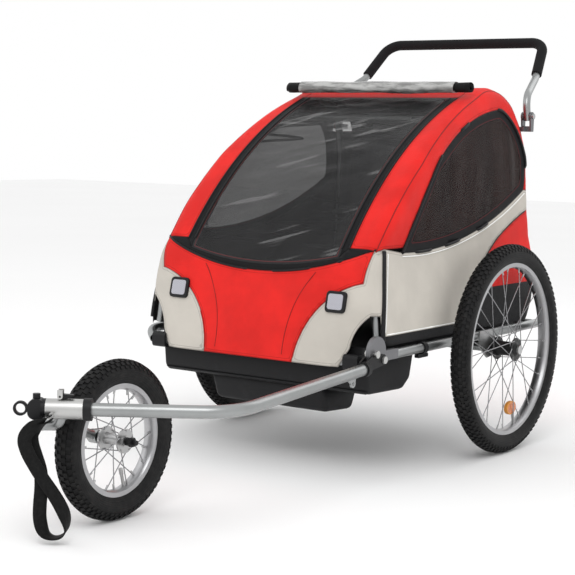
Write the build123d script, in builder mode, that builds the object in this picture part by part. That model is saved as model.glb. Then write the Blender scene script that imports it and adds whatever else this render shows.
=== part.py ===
"""A child bicycle trailer with a tow arm, a front jogging wheel and a push handle.

Millimetres, +Z up, +X to the trailer's left, -Y forwards. The origin is on the ground
under the middle of the trailer.
"""
import os
from math import atan2, cos, pi, radians, sin, tan

from build123d import *

os.makedirs("parts", exist_ok=True)

# Driving dimensions: wheels
wheel_track = 766.0  # between the middle planes of the rear wheels
rear_wheel_diameter = 504.0
rear_tyre_section = 50.0
rear_spoke_count = 28
front_wheel_diameter = 316.0
front_tyre_section = 52.0
front_spoke_count = 20
front_wheel_x = 91.5
front_wheel_ahead = 1081.0  # front axle ahead of the rear axle
tyre_wall = 4.0
rim_half_width = 13.5
rim_overlap = 7.0  # how far the rim's edge stands up inside the tyre
rim_depth = 15.0
spoke_diameter = 2.2
axle_diameter = 12.0
front_axle_diameter = 10.0
running_gap = 0.05  # radial clearance of every turning fit

# Driving dimensions: frame
base_half_width = 334.0  # to the middle of the base side tubes
base_height = 286.0  # middle of the base tubes above the ground
base_front = -478.0  # front bend of the base tubes, from the rear axle
base_back = 262.0
base_tube_diameter = 22.0
bow_tube_diameter = 19.0
tube_wall = 1.6
plate_thickness = 4.0
hinge_gap = 0.3  # side clearance of every hinge

# Driving dimensions: cabin
skin = 4.0  # thickness of the sewn cover
soft_gap = 2.0  # between the cover and what stands inside it
cabin_half_width = 331.0  # at the hem
cabin_shoulder = 299.0  # half width at the window sills
cabin_roof_half = 272.0  # half width where the roof turns down
roof_height = 859.0
hem_height = 300.0
sill_height = 507.0
window_half_width = 207.0
strip_half_width = 226.0  # outer edge of the zip strips beside the front window
roll_diameter = 44.0

# Driving dimensions: tow arm
pivot_y = -520.0
pivot_z = 279.0
arm_tube_diameter = 25.0
arm_start = (345.0, -572.0, 265.0)
arm_bend = (385.0, -1085.0, 247.0)
arm_bend_radius = 110.0
sleeve_start = (168.0, -1232.0, 247.0)
sleeve_length = 84.0
sleeve_diameter = 38.0
sleeve_wall = 2.5
hitch_length = 33.0
eye_radius = 9.0  # inner radius of the hitch eye
eye_rim = 4.5
eye_width = 8.0
eye_offset = 47.5  # from the sleeve's mouth to the middle of the eye
lug_hole_diameter = 8.0

# Driving dimensions: push handle
handle_tube_diameter = 19.0
grip_diameter = 27.0
handle_pivot_y = 256.0
handle_pivot_z = 812.0
handle_half_width = 290.0
grip_half_width = 238.0
grip_back = 444.0  # middle of the cross grip, behind the rear axle
grip_height = 1009.0
pin_diameter = 8.0

# Driving dimensions: safety strap
strap_tube_diameter = 10.0

# Derived values
rear_radius = rear_wheel_diameter / 2
front_radius = front_wheel_diameter / 2
wheel_x = wheel_track / 2
sleeve_heading = atan2(sleeve_start[1] - arm_bend[1], sleeve_start[0] - arm_bend[0])
heading_x = cos(sleeve_heading)
heading_y = sin(sleeve_heading)
side_x = -heading_y  # unit vector across the sleeve, towards the outside of the bend
side_y = heading_x
eye_at = sleeve_length + eye_offset
eye_half_run = abs(heading_y) * (eye_radius + eye_rim) + abs(side_y) * eye_width / 2
nose_y = sleeve_start[1] + heading_y * eye_at - eye_half_run
tail_y = grip_back + grip_diameter / 2
axle_y = -(nose_y + tail_y) / 2  # rear axle behind the origin


def at(x, y, z):
    """A point given from the rear axle's line, in the trailer's frame."""
    return (x, axle_y + y, z)


def along_sleeve(distance, across=0.0, up=0.0):
    """A point on the sleeve's axis, or beside it or above it."""
    x = sleeve_start[0] + heading_x * distance + side_x * across
    y = sleeve_start[1] + heading_y * distance + side_y * across
    return at(x, y, sleeve_start[2] + up)


side_view = Plane(origin=at(0, 0, 0), x_dir=(0, 1, 0), z_dir=(1, 0, 0))
front_view = Plane(origin=at(0, 0, 0), x_dir=(1, 0, 0), z_dir=(0, -1, 0))
plan_view = Plane(origin=at(0, 0, 0), x_dir=(1, 0, 0), z_dir=(0, 0, 1))
far = 800.0  # longer than any cut


def sleeve_plane(distance):
    """A plane square to the sleeve's axis, with +Z of the plane pointing forwards."""
    return Plane(origin=along_sleeve(distance), x_dir=(side_x, side_y, 0), z_dir=(heading_x, heading_y, 0))


def side_plane(x):
    """The side view's plane moved to x."""
    return side_view.offset(x)


def tube(points, radii, diameter, wall=0.0, mode=Mode.ADD):
    """Sweep a round tube, or a solid bar if wall is 0, along straight runs joined by arcs."""
    with BuildLine() as route:
        FilletPolyline(*points, radius=radii)
    path = route.line
    with BuildSketch(Plane(origin=path @ 0, z_dir=path % 0)) as section:
        Circle(diameter / 2)
        if wall:
            Circle(diameter / 2 - wall, mode=Mode.SUBTRACT)
    sweep(sections=section.sketch, path=path, mode=mode)
    return sum(edge.length for edge in path.edges())


def rod(start, end, radius, mode=Mode.ADD):
    """A round rod between two points."""
    axis = Vector(*end) - Vector(*start)
    with BuildSketch(Plane(origin=start, z_dir=axis)) as section:
        Circle(radius)
    extrude(section.sketch, amount=axis.length, mode=mode)


def export(piece, name):
    """Label a finished piece and write it."""
    piece.label = name
    export_step(piece, f"parts/{name}.step")
    return piece


# Wheels -----------------------------------------------------------------------------


def wheel_plane(x, y, z):
    """A plane through the wheel's middle: its x is along the axle, its y is up."""
    return Plane(origin=at(x, y, z), x_dir=(1, 0, 0), z_dir=(0, -1, 0))


def make_tyre(x, y, radius, section):
    """A hollow tyre, open inwards, with beads against the rim's sides."""
    middle = radius - section / 2
    rim_edge = radius - section + rim_overlap
    with BuildPart() as tyre:
        with BuildSketch(wheel_plane(x, y, radius)) as profile:
            with Locations((0, middle)):
                Circle(section / 2)
                Circle(section / 2 - tyre_wall, mode=Mode.SUBTRACT)
            with Locations((0, rim_edge - section / 2)):
                Rectangle(2 * rim_half_width, section, mode=Mode.SUBTRACT)
        revolve(axis=Axis(at(x, y, radius), (1, 0, 0)))
    return tyre.part


def make_rim(x, y, radius, section):
    """A double-wall rim: a well for the tyre and a rounded inner bridge."""
    edge = radius - section + rim_overlap
    lip = 2.0
    well = edge - rim_overlap
    half = rim_half_width
    with BuildPart() as rim:
        with BuildSketch(wheel_plane(x, y, radius)):
            with BuildLine():
                Polyline((half, well - 4), (half, edge), (half - lip, edge), (half - lip, well))
                Line((half - lip, well), (lip - half, well))
                Polyline((lip - half, well), (lip - half, edge), (-half, edge), (-half, well - 4))
                ThreePointArc((-half, well - 4), (0, edge - rim_depth), (half, well - 4))
            make_face()
        revolve(axis=Axis(at(x, y, radius), (1, 0, 0)))
    return rim.part


def make_spokes(x, y, radius, section, count, flange_x, flange_radius):
    """Crossed spokes from both hub flanges to the rim's bridge."""
    rim_reach = radius - section - 4.0
    cross = 62.0  # how far a spoke leans round the hub, in degrees
    with BuildPart() as spokes:
        for index in range(count):
            outer = 2 * pi * index / count
            flange_side = 1 if index % 2 else -1
            lean = 1 if index % 4 < 2 else -1
            inner = outer + lean * radians(cross)
            shift = flange_side * (flange_x + lean * spoke_diameter)
            start = (x + shift, y + flange_radius * sin(inner), radius + flange_radius * cos(inner))
            rim_x = x + flange_side * 3.0
            end = (rim_x, y + rim_reach * sin(outer), radius + rim_reach * cos(outer))
            rod(at(*start), at(*end), spoke_diameter / 2)
    return spokes.part


def make_hub(x, y, height, half_length, barrel, flange, flange_x, bore):
    """A hub shell with two spoke flanges and a through bore."""
    flange_half = 1.6
    with BuildPart() as hub:
        with BuildSketch(wheel_plane(x, y, height)):
            with BuildLine():
                Polyline((-half_length, bore), (-half_length, bore + 6))
                Polyline((-half_length, bore + 6), (-flange_x - flange_half, barrel))
                Polyline((-flange_x - flange_half, barrel), (-flange_x - flange_half, flange))
                Polyline((-flange_x - flange_half, flange), (-flange_x + flange_half, flange))
                Polyline((-flange_x + flange_half, flange), (-flange_x + flange_half, barrel + 2))
                ThreePointArc(
                    (flange_half - flange_x, barrel + 2), (0, barrel), (flange_x - flange_half, barrel + 2)
                )
                Polyline((flange_x - flange_half, barrel + 2), (flange_x - flange_half, flange))
                Polyline((flange_x - flange_half, flange), (flange_x + flange_half, flange))
                Polyline((flange_x + flange_half, flange), (flange_x + flange_half, barrel))
                Polyline((flange_x + flange_half, barrel), (half_length, bore + 6))
                Polyline((half_length, bore + 6), (half_length, bore), (-half_length, bore))
            make_face()
        revolve(axis=Axis(at(x, y, height), (1, 0, 0)))
    return hub.part


hub_half = 31.0
hub_flange_x = 24.0
hub_flange = 28.0
hub_barrel = 17.0
axle_start = base_half_width - 2.0
plate_x = base_half_width + base_tube_diameter / 2  # inner face of the axle plates

for side, name in ((1, "left"), (-1, "right")):
    x = side * wheel_x
    export(make_tyre(x, 0, rear_radius, rear_tyre_section), f"rear_tyre_{name}")
    export(make_rim(x, 0, rear_radius, rear_tyre_section), f"rear_rim_{name}")
    spokes = make_spokes(
        x, 0, rear_radius, rear_tyre_section, rear_spoke_count, hub_flange_x, hub_flange - 4
    )
    export(spokes, f"rear_spokes_{name}")
    hub = make_hub(
        x, 0, rear_radius, hub_half, hub_barrel, hub_flange, hub_flange_x, axle_diameter / 2 + running_gap
    )
    export(hub, f"rear_hub_{name}")

front_hub_half = 29.0
front_flange_x = 24.0
front_flange = 24.0
front_y = -front_wheel_ahead
export(make_tyre(front_wheel_x, front_y, front_radius, front_tyre_section), "front_tyre")
export(make_rim(front_wheel_x, front_y, front_radius, front_tyre_section), "front_rim")
front_spokes = make_spokes(
    front_wheel_x, front_y, front_radius, front_tyre_section, front_spoke_count, front_flange_x, front_flange - 4
)
export(front_spokes, "front_spokes")
front_hub = make_hub(
    front_wheel_x,
    front_y,
    front_radius,
    front_hub_half,
    10.0,
    front_flange,
    front_flange_x,
    front_axle_diameter / 2 + running_gap,
)
export(front_hub, "front_hub")

# One amber reflector is clipped between the spokes of each rear wheel.
reflector_reach = 148.0
reflector_half = 25.0
for side, name in ((1, "left"), (-1, "right")):
    with BuildPart() as wheel_reflector:
        centre = at(side * wheel_x, 28, rear_radius - reflector_reach)
        with BuildSketch(Plane(origin=centre, x_dir=(0, 1, 0), z_dir=(1, 0, 0))):
            Ellipse(reflector_half, 17)
        extrude(amount=4, both=True)
        with BuildSketch(Plane(origin=centre, x_dir=(0, 1, 0), z_dir=(1, 0, 0))):
            Ellipse(reflector_half - 5, 12)
        extrude(amount=6, both=True)
    export(wheel_reflector.part, f"wheel_reflector_{name}")

# Base frame -------------------------------------------------------------------------

socket_x = 296.0  # where a base tube's front elbow enters its socket
socket_y = -506.0
socket_z = 264.0
axle_tube_diameter = 25.0


def base_route(side):
    """The middle line of a base side tube, from its front elbow to its rear end."""
    return [
        at(side * socket_x, socket_y, socket_z),
        at(side * base_half_width, base_front, base_height - 4),
        at(side * base_half_width, base_back, base_height),
    ]


elbow_radius = 60.0
for side, name in ((1, "left"), (-1, "right")):
    with BuildPart() as base_tube:
        tube(base_route(side), [elbow_radius], base_tube_diameter, tube_wall)
    export(base_tube.part, f"base_tube_{name}")

# The front and rear cross tubes and the axle tube tie the two sides together.
front_half = socket_x - base_tube_diameter / 2 - 8
inner_half = base_half_width - base_tube_diameter / 2
rear_tube_radius = base_tube_diameter / 2 - 1
cross_tube_rows = (
    (front_half, socket_y, socket_z, base_tube_diameter / 2, base_tube_diameter / 2 - tube_wall),
    (inner_half, base_back - 12, base_height, rear_tube_radius, rear_tube_radius - tube_wall),
    (inner_half, 0, rear_radius, axle_tube_diameter / 2, axle_diameter / 2 + 1),
)
with BuildPart() as cross_tubes:
    for half, y, z, outer_radius, inner_radius in cross_tube_rows:
        with BuildSketch(side_plane(-half)):
            with Locations((y, z)):
                Circle(outer_radius)
                Circle(inner_radius, mode=Mode.SUBTRACT)
        extrude(amount=2 * half)
export(cross_tubes.part, "cross_tubes")

# Moulded sockets join the front cross tube to the two elbows.
with BuildPart() as corner_sockets:
    for side in (1, -1):
        with BuildSketch(side_plane(side * (front_half - 26))):
            with Locations((socket_y, socket_z)):
                RectangleRounded(34, 34, 9)
        extrude(amount=side * (socket_x - base_tube_diameter / 2 + 4 - front_half + 26))
        rod(
            at(side * (front_half - 40), socket_y, socket_z),
            at(side * front_half, socket_y, socket_z),
            base_tube_diameter / 2,
            Mode.SUBTRACT,
        )
        tube(base_route(side), [elbow_radius], base_tube_diameter, mode=Mode.SUBTRACT)
export(corner_sockets.part, "corner_sockets")

# Clips lock the two halves of each base side tube.
collar_y = -322.0
with BuildPart() as tube_collars:
    for side in (1, -1):
        with BuildSketch(Plane(origin=at(side * base_half_width, collar_y, base_height - 3), z_dir=(0, 1, 0))):
            Circle(base_tube_diameter / 2 + 3)
        extrude(amount=7, both=True)
        with BuildSketch(side_plane(side * base_half_width - 5)):
            with Locations((collar_y - 2, base_height - 20)):
                RectangleRounded(44, 9, 3)
        extrude(amount=10)
        rod(
            at(side * base_half_width, collar_y - 60, base_height - 3.4),
            at(side * base_half_width, collar_y + 60, base_height - 2.8),
            base_tube_diameter / 2 + 0.5,
            Mode.SUBTRACT,
        )
export(tube_collars.part, "tube_collars")

# A plate outside each base tube carries the wheel's axle pin.
with BuildPart() as axle_plates:
    with BuildSketch(side_plane(plate_x)):
        with BuildLine():
            Polyline((-74, base_height + 12), (-22, base_height + 12), (20, rear_radius + 14))
            ThreePointArc((20, rear_radius + 14), (24, rear_radius), (14, rear_radius - 16))
            Polyline((14, rear_radius - 16), (-34, rear_radius - 22), (-74, base_height - 26))
            Line((-74, base_height - 26), (-74, base_height + 12))
        make_face()
        with Locations((0, rear_radius)):
            Circle(axle_diameter / 2, mode=Mode.SUBTRACT)
    extrude(amount=plate_thickness)
    mirror(about=Plane.YZ)
export(axle_plates.part, "axle_plates")

# Wheel axle pins, each with a head outside the hub.
with BuildPart() as axle_pins:
    for side in (1, -1):
        rod(
            at(side * axle_start, 0, rear_radius),
            at(side * (wheel_x + hub_half + 0.5), 0, rear_radius),
            axle_diameter / 2,
        )
        rod(
            at(side * (wheel_x + hub_half + 0.5), 0, rear_radius),
            at(side * (wheel_x + hub_half + 5.5), 0, rear_radius),
            axle_diameter / 2 + 5,
        )
export(axle_pins.part, "axle_pins")

# Cabin frame ------------------------------------------------------------------------

bow_x = cabin_roof_half - skin - soft_gap - bow_tube_diameter / 2 + 2
bow_radii = [60, 90, 200, 260, 60, 40, 120, 90]


def bow_route(side):
    """The middle line of a side bow, from its front foot over the roof to its rear foot."""
    return [
        at(side * 308, -470, base_height + 14),
        at(side * 297, -468, 385),
        at(side * (bow_x + 14), -420, 510),
        at(side * (bow_x + 6), -262, 682),
        at(side * bow_x, 8, 831),
        at(side * (bow_x - 4), 110, roof_height - 8),
        at(side * (bow_x - 2), 206, 826),
        at(side * (bow_x + 4), 244, 700),
        at(side * (bow_x + 14), 244, 440),
        at(side * 300, 200, base_height + 14),
    ]


with BuildPart() as side_bows:
    for side in (1, -1):
        tube(bow_route(side), bow_radii, bow_tube_diameter, tube_wall)
export(side_bows.part, "side_bows")

roof_tube_places = ((-6, 822 - 24), (196, 806))
with BuildPart() as roof_cross_tubes:
    roof_inner = bow_x - 16
    for y, z in roof_tube_places:
        with BuildSketch(side_plane(-roof_inner)):
            with Locations((y, z)):
                Circle(bow_tube_diameter / 2 - 1)
                Circle(bow_tube_diameter / 2 - 1 - tube_wall, mode=Mode.SUBTRACT)
        extrude(amount=2 * roof_inner)
export(roof_cross_tubes.part, "roof_cross_tubes")

# Sewn cover -------------------------------------------------------------------------


def side_outline(inset):
    """The cabin's side silhouette, moved inwards by inset."""
    with BuildSketch(side_view) as outline:
        with BuildLine():
            Line((-500, 252), (-534, 252))
            Line((-534, 252), (-492, 440))
            ThreePointArc((-492, 440), (-484, 475), (-466, sill_height))
            ThreePointArc((-466, sill_height), (-252, 716), (30, roof_height))
            ThreePointArc((30, roof_height), (115, roof_height + 19), (192, roof_height - 9))
            ThreePointArc((192, roof_height - 9), (238, roof_height - 58), (258, roof_height - 132))
            Line((258, roof_height - 132), (284, 470))
            ThreePointArc((284, 470), (268, 366), (226, hem_height))
            Polyline((226, hem_height), (-478, hem_height), (-500, 252))
        make_face()
        if inset:
            offset(amount=-inset, mode=Mode.REPLACE)
    return outline.sketch


def front_outline(inset):
    """The cabin's front silhouette, moved inwards by inset."""
    half_widths = [
        (cabin_half_width, 200),
        (cabin_half_width, hem_height + 8),
        (cabin_shoulder, sill_height),
        (cabin_shoulder - 3, 705),
        (cabin_roof_half, roof_height + 2),
        (cabin_roof_half - 14, roof_height + 60),
    ]
    right = [(-x, z) for x, z in reversed(half_widths)]
    with BuildSketch(front_view) as outline:
        Polygon(*half_widths, *right, align=None)
        if inset:
            offset(amount=-inset, mode=Mode.REPLACE)
    return outline.sketch


def plan_outline(inset):
    """The cabin seen from above, with its front corners turned back."""
    corners = [
        (150, -560),
        (268, -520),
        (cabin_half_width, -488),
        (cabin_half_width + 20, 400),
    ]
    right = [(-x, y) for x, y in reversed(corners)]
    with BuildSketch(plan_view) as outline:
        Polygon(*corners, *right, align=None)
        if inset:
            offset(amount=-inset, mode=Mode.REPLACE)
    return outline.sketch


def cabin_block(inset):
    """The solid that the cover encloses, moved inwards by inset."""
    with BuildPart() as block:
        extrude(side_outline(inset), amount=far / 2, both=True)
        extrude(front_outline(inset), amount=far, both=True, mode=Mode.INTERSECT)
        extrude(plan_outline(inset), amount=far * 2, mode=Mode.INTERSECT)
    return block.part


with BuildPart() as cover:
    add(cabin_block(0))
    add(cabin_block(skin), mode=Mode.SUBTRACT)
    # the bottom is open between the hems
    with BuildSketch(plan_view.offset(hem_height - 1)):
        with Locations((0, -125)):
            Rectangle(2 * (cabin_half_width - skin), 710)
    extrude(amount=2 * skin, mode=Mode.SUBTRACT)
    with BuildSketch(side_view):
        Polygon(
            (-534 + skin + 1, 252), (-500, 252), (-478, hem_height), (-478, hem_height + 8), (-520, hem_height),
            align=None,
        )
    extrude(amount=cabin_half_width - skin, both=True, mode=Mode.SUBTRACT)
    # an arched notch at each front corner leaves room for the tow arm's hinge
    for side in (1, -1):
        with BuildSketch(front_view.offset(480)):
            with BuildLine():
                Polyline((side * 400, 200), (side * 268, 200), (side * 268, 256))
                ThreePointArc((side * 268, 256), (side * 280, 338), (side * 306, 366))
                Polyline((side * 306, 366), (side * 400, 368), (side * 400, 200))
            make_face()
        extrude(amount=100, mode=Mode.SUBTRACT)
        # a slot at each rear corner passes the push handle's bracket
        with BuildSketch(side_plane(side * 236)):
            with Locations((handle_pivot_y, handle_pivot_z - 29)):
                Rectangle(52, 34)
        extrude(amount=side * 100, mode=Mode.SUBTRACT)
cover_part = cover.part


def window_shape():
    """The side window's outline in the side view."""
    with BuildSketch(side_view) as shape:
        with BuildLine():
            ThreePointArc((-364, 497), (-60, 522), (232, 626))
            ThreePointArc((232, 626), (216, 757), (127, 826))
            ThreePointArc((127, 826), (-56, 783), (-205, 699))
            Line((-205, 699), (-364, 497))
        make_face()
    return shape.sketch


def arch_line():
    """The wheel arch seam, from the cover's rear edge down to the hem."""
    ThreePointArc((290, 585), (64, 492), (-149, 318))
    Line((-149, 318), (-190, hem_height - 60))


def light_shape():
    """The light side panel: between the piping, the window, the arch and the hem."""
    with BuildSketch(side_view) as shape:
        with BuildLine():
            Polyline((-190, hem_height - 60), (-495, hem_height - 60), (-440, 509), (-364, 497))
            ThreePointArc((-364, 497), (-60, 522), (232, 626))
            Polyline((232, 626), (290, 622), (290, 585))
            arch_line()
        make_face()
    return shape.sketch


def arch_shape():
    """The panel beside the wheel, below the arch seam."""
    with BuildSketch(side_view) as shape:
        with BuildLine():
            arch_line()
            Polyline((-190, hem_height - 60), (400, hem_height - 60), (400, 585), (290, 585))
        make_face()
    return shape.sketch


def nose_shape():
    """Everything ahead of the side piping, below the front window."""
    with BuildSketch(side_view) as shape:
        Polygon(
            (-700, 100), (-500, 100), (-495, hem_height - 60), (-440, 509), (-440, 560), (-700, 560), align=None
        )
    return shape.sketch


def corner_shape(side):
    """A light corner panel in the front view: its seam climbs from the hem to the shoulder."""
    with BuildSketch(front_view) as shape:
        with BuildLine():
            Line((side * 124, 200), (side * 124, 262))
            ThreePointArc((side * 124, 262), (side * 196, 396), (side * 281, 436))
            Polyline((side * 281, 436), (side * 292, 508), (side * 380, 508), (side * 380, 200), (side * 124, 200))
        make_face()
    return shape.sketch


def band_shape(low):
    """The dark band under the front window, or all that lies above its lower edge."""
    with BuildSketch(front_view) as shape:
        with BuildLine():
            ThreePointArc((-292, 508), (0, 446), (292, 508))
            if low:
                Polyline((292, 508), (strip_half_width, 508), (window_half_width, 486))
                ThreePointArc((window_half_width, 486), (0, 461), (-window_half_width, 486))
                Polyline((-window_half_width, 486), (-strip_half_width, 508), (-292, 508))
            else:
                Polyline((292, 508), (400, 508), (400, 1000), (-400, 1000), (-400, 508), (-292, 508))
        make_face()
    return shape.sketch


def window_slope():
    """The front slope in the side view, up to the rolled cover."""
    with BuildSketch(side_view) as shape:
        Polygon((-700, 400), (-300, 400), (-300, 560), (6, 780), (6, 950), (-700, 950), align=None)
    return shape.sketch


def slab(low_x, high_x):
    """A tall block between two X values, used to divide the cover."""
    with BuildPart() as block:
        with BuildSketch(plan_view):
            with Locations(((low_x + high_x) / 2, 0)):
                Rectangle(high_x - low_x, 2 * far)
        extrude(amount=2 * far)
    return block.part


def panel(*shapes, cut=()):
    """The part of the cover inside every given shape and outside every cut."""
    with BuildPart() as piece:
        add(cover_part)
        for shape in shapes:
            if isinstance(shape, Sketch):
                extrude(shape, amount=far, both=True, mode=Mode.INTERSECT)
            else:
                add(shape, mode=Mode.INTERSECT)
        for shape in cut:
            if isinstance(shape, Sketch):
                extrude(shape, amount=far, both=True, mode=Mode.SUBTRACT)
            else:
                add(shape, mode=Mode.SUBTRACT)
    return piece.part


strip = strip_half_width
middle_slab = slab(-window_half_width, window_half_width)
strip_slabs = [slab(window_half_width, strip), slab(-strip, -window_half_width)]
centre_slab = slab(-strip, strip)
above_band = band_shape(False)

side_windows = []
wheel_panels = []
corner_panels = []
for side, name in ((1, "left"), (-1, "right")):
    outer_slab = slab(strip, 400) if side > 0 else slab(-400, -strip)
    side_windows.append(panel(window_shape(), outer_slab))
    wheel_panels.append(panel(arch_shape(), outer_slab))
    corner_panels.append(panel(nose_shape(), corner_shape(side)))
    export(panel(light_shape(), outer_slab), f"side_panel_{name}")
    frame_cover = panel(
        outer_slab,
        above_band,
        cut=[window_shape(), light_shape(), arch_shape(), corner_shape(side), band_shape(True)],
    )
    export(frame_cover, f"frame_cover_{name}")
export(Compound(children=side_windows), "side_windows")
export(Compound(children=wheel_panels), "wheel_panels")
export(Compound(children=corner_panels), "corner_panels")

front_panel = panel(nose_shape(), cut=[above_band, band_shape(True), corner_shape(1), corner_shape(-1)])
export(front_panel, "front_panel")
export(panel(nose_shape(), band_shape(True)), "window_band")
export(panel(window_slope(), above_band, middle_slab, cut=[band_shape(True)]), "window_mesh")
zip_left = panel(window_slope(), above_band, strip_slabs[0], cut=[band_shape(True)])
zip_right = panel(window_slope(), above_band, strip_slabs[1], cut=[band_shape(True)])
export(Compound(children=[zip_left, zip_right]), "zip_strips")
with BuildSketch(side_view) as roof_zone:
    Polygon((6, 780), (6, 950), (400, 950), (400, 780), align=None)
with BuildSketch(side_view) as rear_zone:
    Polygon((6, 780), (6, 200), (400, 200), (400, 780), align=None)
export(panel(roof_zone.sketch, centre_slab), "roof_panel")
export(panel(rear_zone.sketch, centre_slab), "rear_panel")

# Piping covers the corner seams.
piping_radius = 3.5
with BuildPart() as corner_piping:
    for side in (1, -1):
        rod(
            at(side * (cabin_shoulder + 4.6), -441, sill_height - 2),
            at(side * (cabin_half_width + 4.8), -485, hem_height + 12),
            piping_radius,
        )
export(corner_piping.part, "corner_piping")

# The rain cover is rolled up and tied above the front window.
roll_y = -4.0
roll_z = roof_height + 4.0
roll_half = 226.0
with BuildPart() as rain_cover_roll:
    with BuildSketch(side_plane(-roll_half)):
        with Locations((roll_y, roll_z + roll_diameter / 2 - 8)):
            Ellipse(roll_diameter / 2, roll_diameter / 2 - 4)
    extrude(amount=2 * roll_half)
    # the cover's hems stand out of the roll's ends
    for side in (1, -1):
        with BuildSketch(side_plane(side * roll_half)):
            with Locations((roll_y, roll_z + roll_diameter / 2 - 8)):
                Ellipse(roll_diameter / 2 - 3, roll_diameter / 2 - 7)
        extrude(amount=side * 40)
    add(cabin_block(-1), mode=Mode.SUBTRACT)
export(rain_cover_roll.part, "rain_cover_roll")

# Two square reflectors stand on the light corner panels.
with BuildPart() as front_reflectors:
    for side in (1, -1):
        face = Plane(origin=at(side * 220, -505, 391), x_dir=(1, side * 0.05, 0), z_dir=(0.0, -0.976, 0.218))
        with BuildSketch(face):
            RectangleRounded(50, 46, 12)
        extrude(amount=10)
    add(cabin_block(-0.3), mode=Mode.SUBTRACT)
export(front_reflectors.part, "front_reflectors")

# Floor and seat ---------------------------------------------------------------------

tub_wall = 3.0
tub_half = 308.0
with BuildPart() as floor_tub:
    with BuildSketch(side_view) as tub_profile:
        with BuildLine():
            Polyline((-488, hem_height - 4), (-478, 196), (-468, 186))
            Polyline((-468, 186), (-322, 182), (-290, 204), (-276, 262), (230, 266), (236, hem_height - 4))
            Line((236, hem_height - 4), (-488, hem_height - 4))
        make_face()
    extrude(amount=tub_half - 18, both=True)
    with BuildSketch(side_view) as well_profile:
        Polygon((-462, 190), (-440, 128), (-330, 122), (-300, 190), align=None)
    extrude(amount=160, both=True)
    with BuildSketch(side_view) as tub_hollow:
        with BuildLine():
            Polyline((-484, hem_height + 2), (-474, 198), (-466, 189), (-324, 185), (-293, 206), (-279, 265))
            Polyline((-279, 265), (227, 269), (233, hem_height + 2), (-484, hem_height + 2))
        make_face()
    extrude(amount=tub_half - 18 - tub_wall, both=True, mode=Mode.SUBTRACT)
    with BuildSketch(side_view) as well_hollow:
        Polygon((-460, 196), (-437, 131), (-332, 125), (-301, 196), align=None)
    extrude(amount=160 - tub_wall, both=True, mode=Mode.SUBTRACT)
    for x in (tub_half - 18, 18 - tub_half):
        with BuildSketch(side_plane(x)):
            with BuildLine():
                Polyline((-470, hem_height - 7), (230, hem_height - 7), (230, hem_height - 4))
                Polyline((230, hem_height - 4), (-470, hem_height - 4), (-470, hem_height - 7))
            make_face()
        extrude(amount=18 if x > 0 else -18)
    for side in (1, -1):
        tube_clear = base_tube_diameter / 2 + 0.5
        rod(
            at(side * base_half_width, -478, base_height - 4),
            at(side * base_half_width, 300, base_height),
            tube_clear,
            Mode.SUBTRACT,
        )
    rod(at(-400, 0, rear_radius), at(400, 0, rear_radius), axle_tube_diameter / 2 + 0.5, Mode.SUBTRACT)
    rod(at(-400, socket_y, socket_z), at(400, socket_y, socket_z), 20, Mode.SUBTRACT)
export(floor_tub.part, "floor_tub")

seat_half = 248.0
with BuildPart() as seat_base:
    with BuildSketch(side_view):
        Polygon((-165, 346), (-150, 318), (150, 300), (156, 322), (-140, 356), align=None)
    extrude(amount=seat_half, both=True)
export(seat_base.part, "seat_base")
with BuildPart() as seat_back:
    with BuildSketch(side_view):
        Polygon((160, 326), (178, 318), (208, 765), (192, 767), align=None)
    extrude(amount=seat_half, both=True)
export(seat_back.part, "seat_back")

harness_width = 38.0
seat_spacing = 122.0  # from the middle to the middle of each seat
with BuildPart() as harness:
    for seat in (1, -1):
        for shoulder in (1, -1):
            with BuildSketch(side_plane(seat * seat_spacing + shoulder * 52 - harness_width / 2)):
                Polygon((163, 420), (166.2, 420), (186.4, 700), (183.2, 700), align=None)
            extrude(amount=harness_width)
        with BuildSketch(side_plane(seat * seat_spacing - harness_width / 2)):
            Polygon((-120, 354.5), (-120, 357.5), (60, 339), (60, 336), align=None)
        extrude(amount=harness_width)
        with BuildSketch(side_plane(seat * seat_spacing - 24)):
            with Locations(Location((152, 455), -86)):
                RectangleRounded(54, 14, 5)
        extrude(amount=48)
export(harness.part, "harness")

# Tow arm and its hinge --------------------------------------------------------------

disc_radius = 33.0
disc_y = -537.0
disc_z = 297.0
disc_half = 5.0
fork_thickness = 4.0
bolt_radius = 4.0
bolt_gap = 0.1  # between the stop bolt and the fork that rests under it
stop_y = -551.0
stop_z = 294.0
hinge_x = arm_start[0]
fork_inner = disc_half + hinge_gap
fork_outer = fork_inner + fork_thickness

# A disc welded beside the base tube carries the tow arm's hinge.
with BuildPart() as hinge_bracket:
    with BuildSketch(side_plane(hinge_x - disc_half)):
        with Locations((disc_y, disc_z)):
            Circle(disc_radius)
        with Locations((-480, base_height)):
            RectangleRounded(56, 22, 4)
        for y, z in ((pivot_y, pivot_z), (stop_y, stop_z)):
            with Locations((y, z)):
                Circle(bolt_radius, mode=Mode.SUBTRACT)
    extrude(amount=2 * disc_half)
    tube(base_route(1), [elbow_radius], base_tube_diameter, mode=Mode.SUBTRACT)
export(hinge_bracket.part, "hinge_bracket")

# The rear bolt is the arm's pivot. The fork rests under the front one.
with BuildPart() as hinge_bolts:
    head_start = fork_outer + 0.7
    for y, z in ((pivot_y, pivot_z), (stop_y, stop_z)):
        rod(at(hinge_x - head_start - 7, y, z), at(hinge_x + head_start + 2, y, z), bolt_radius)
        with BuildSketch(side_plane(hinge_x + head_start)):
            with Locations((y, z)):
                Circle(8)
        extrude(amount=5)
        with BuildSketch(side_plane(hinge_x - head_start - 5)):
            with Locations((y, z)):
                RegularPolygon(7.5, 6)
        extrude(amount=5)
export(hinge_bolts.part, "hinge_bolts")

arm_points = [at(*arm_start), at(*arm_bend), along_sleeve(54)]
arm_run = Vector(*arm_bend) - Vector(*arm_start)
arm_heading = arm_run.normalized()
fork_top = stop_z - bolt_radius - bolt_gap

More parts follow.
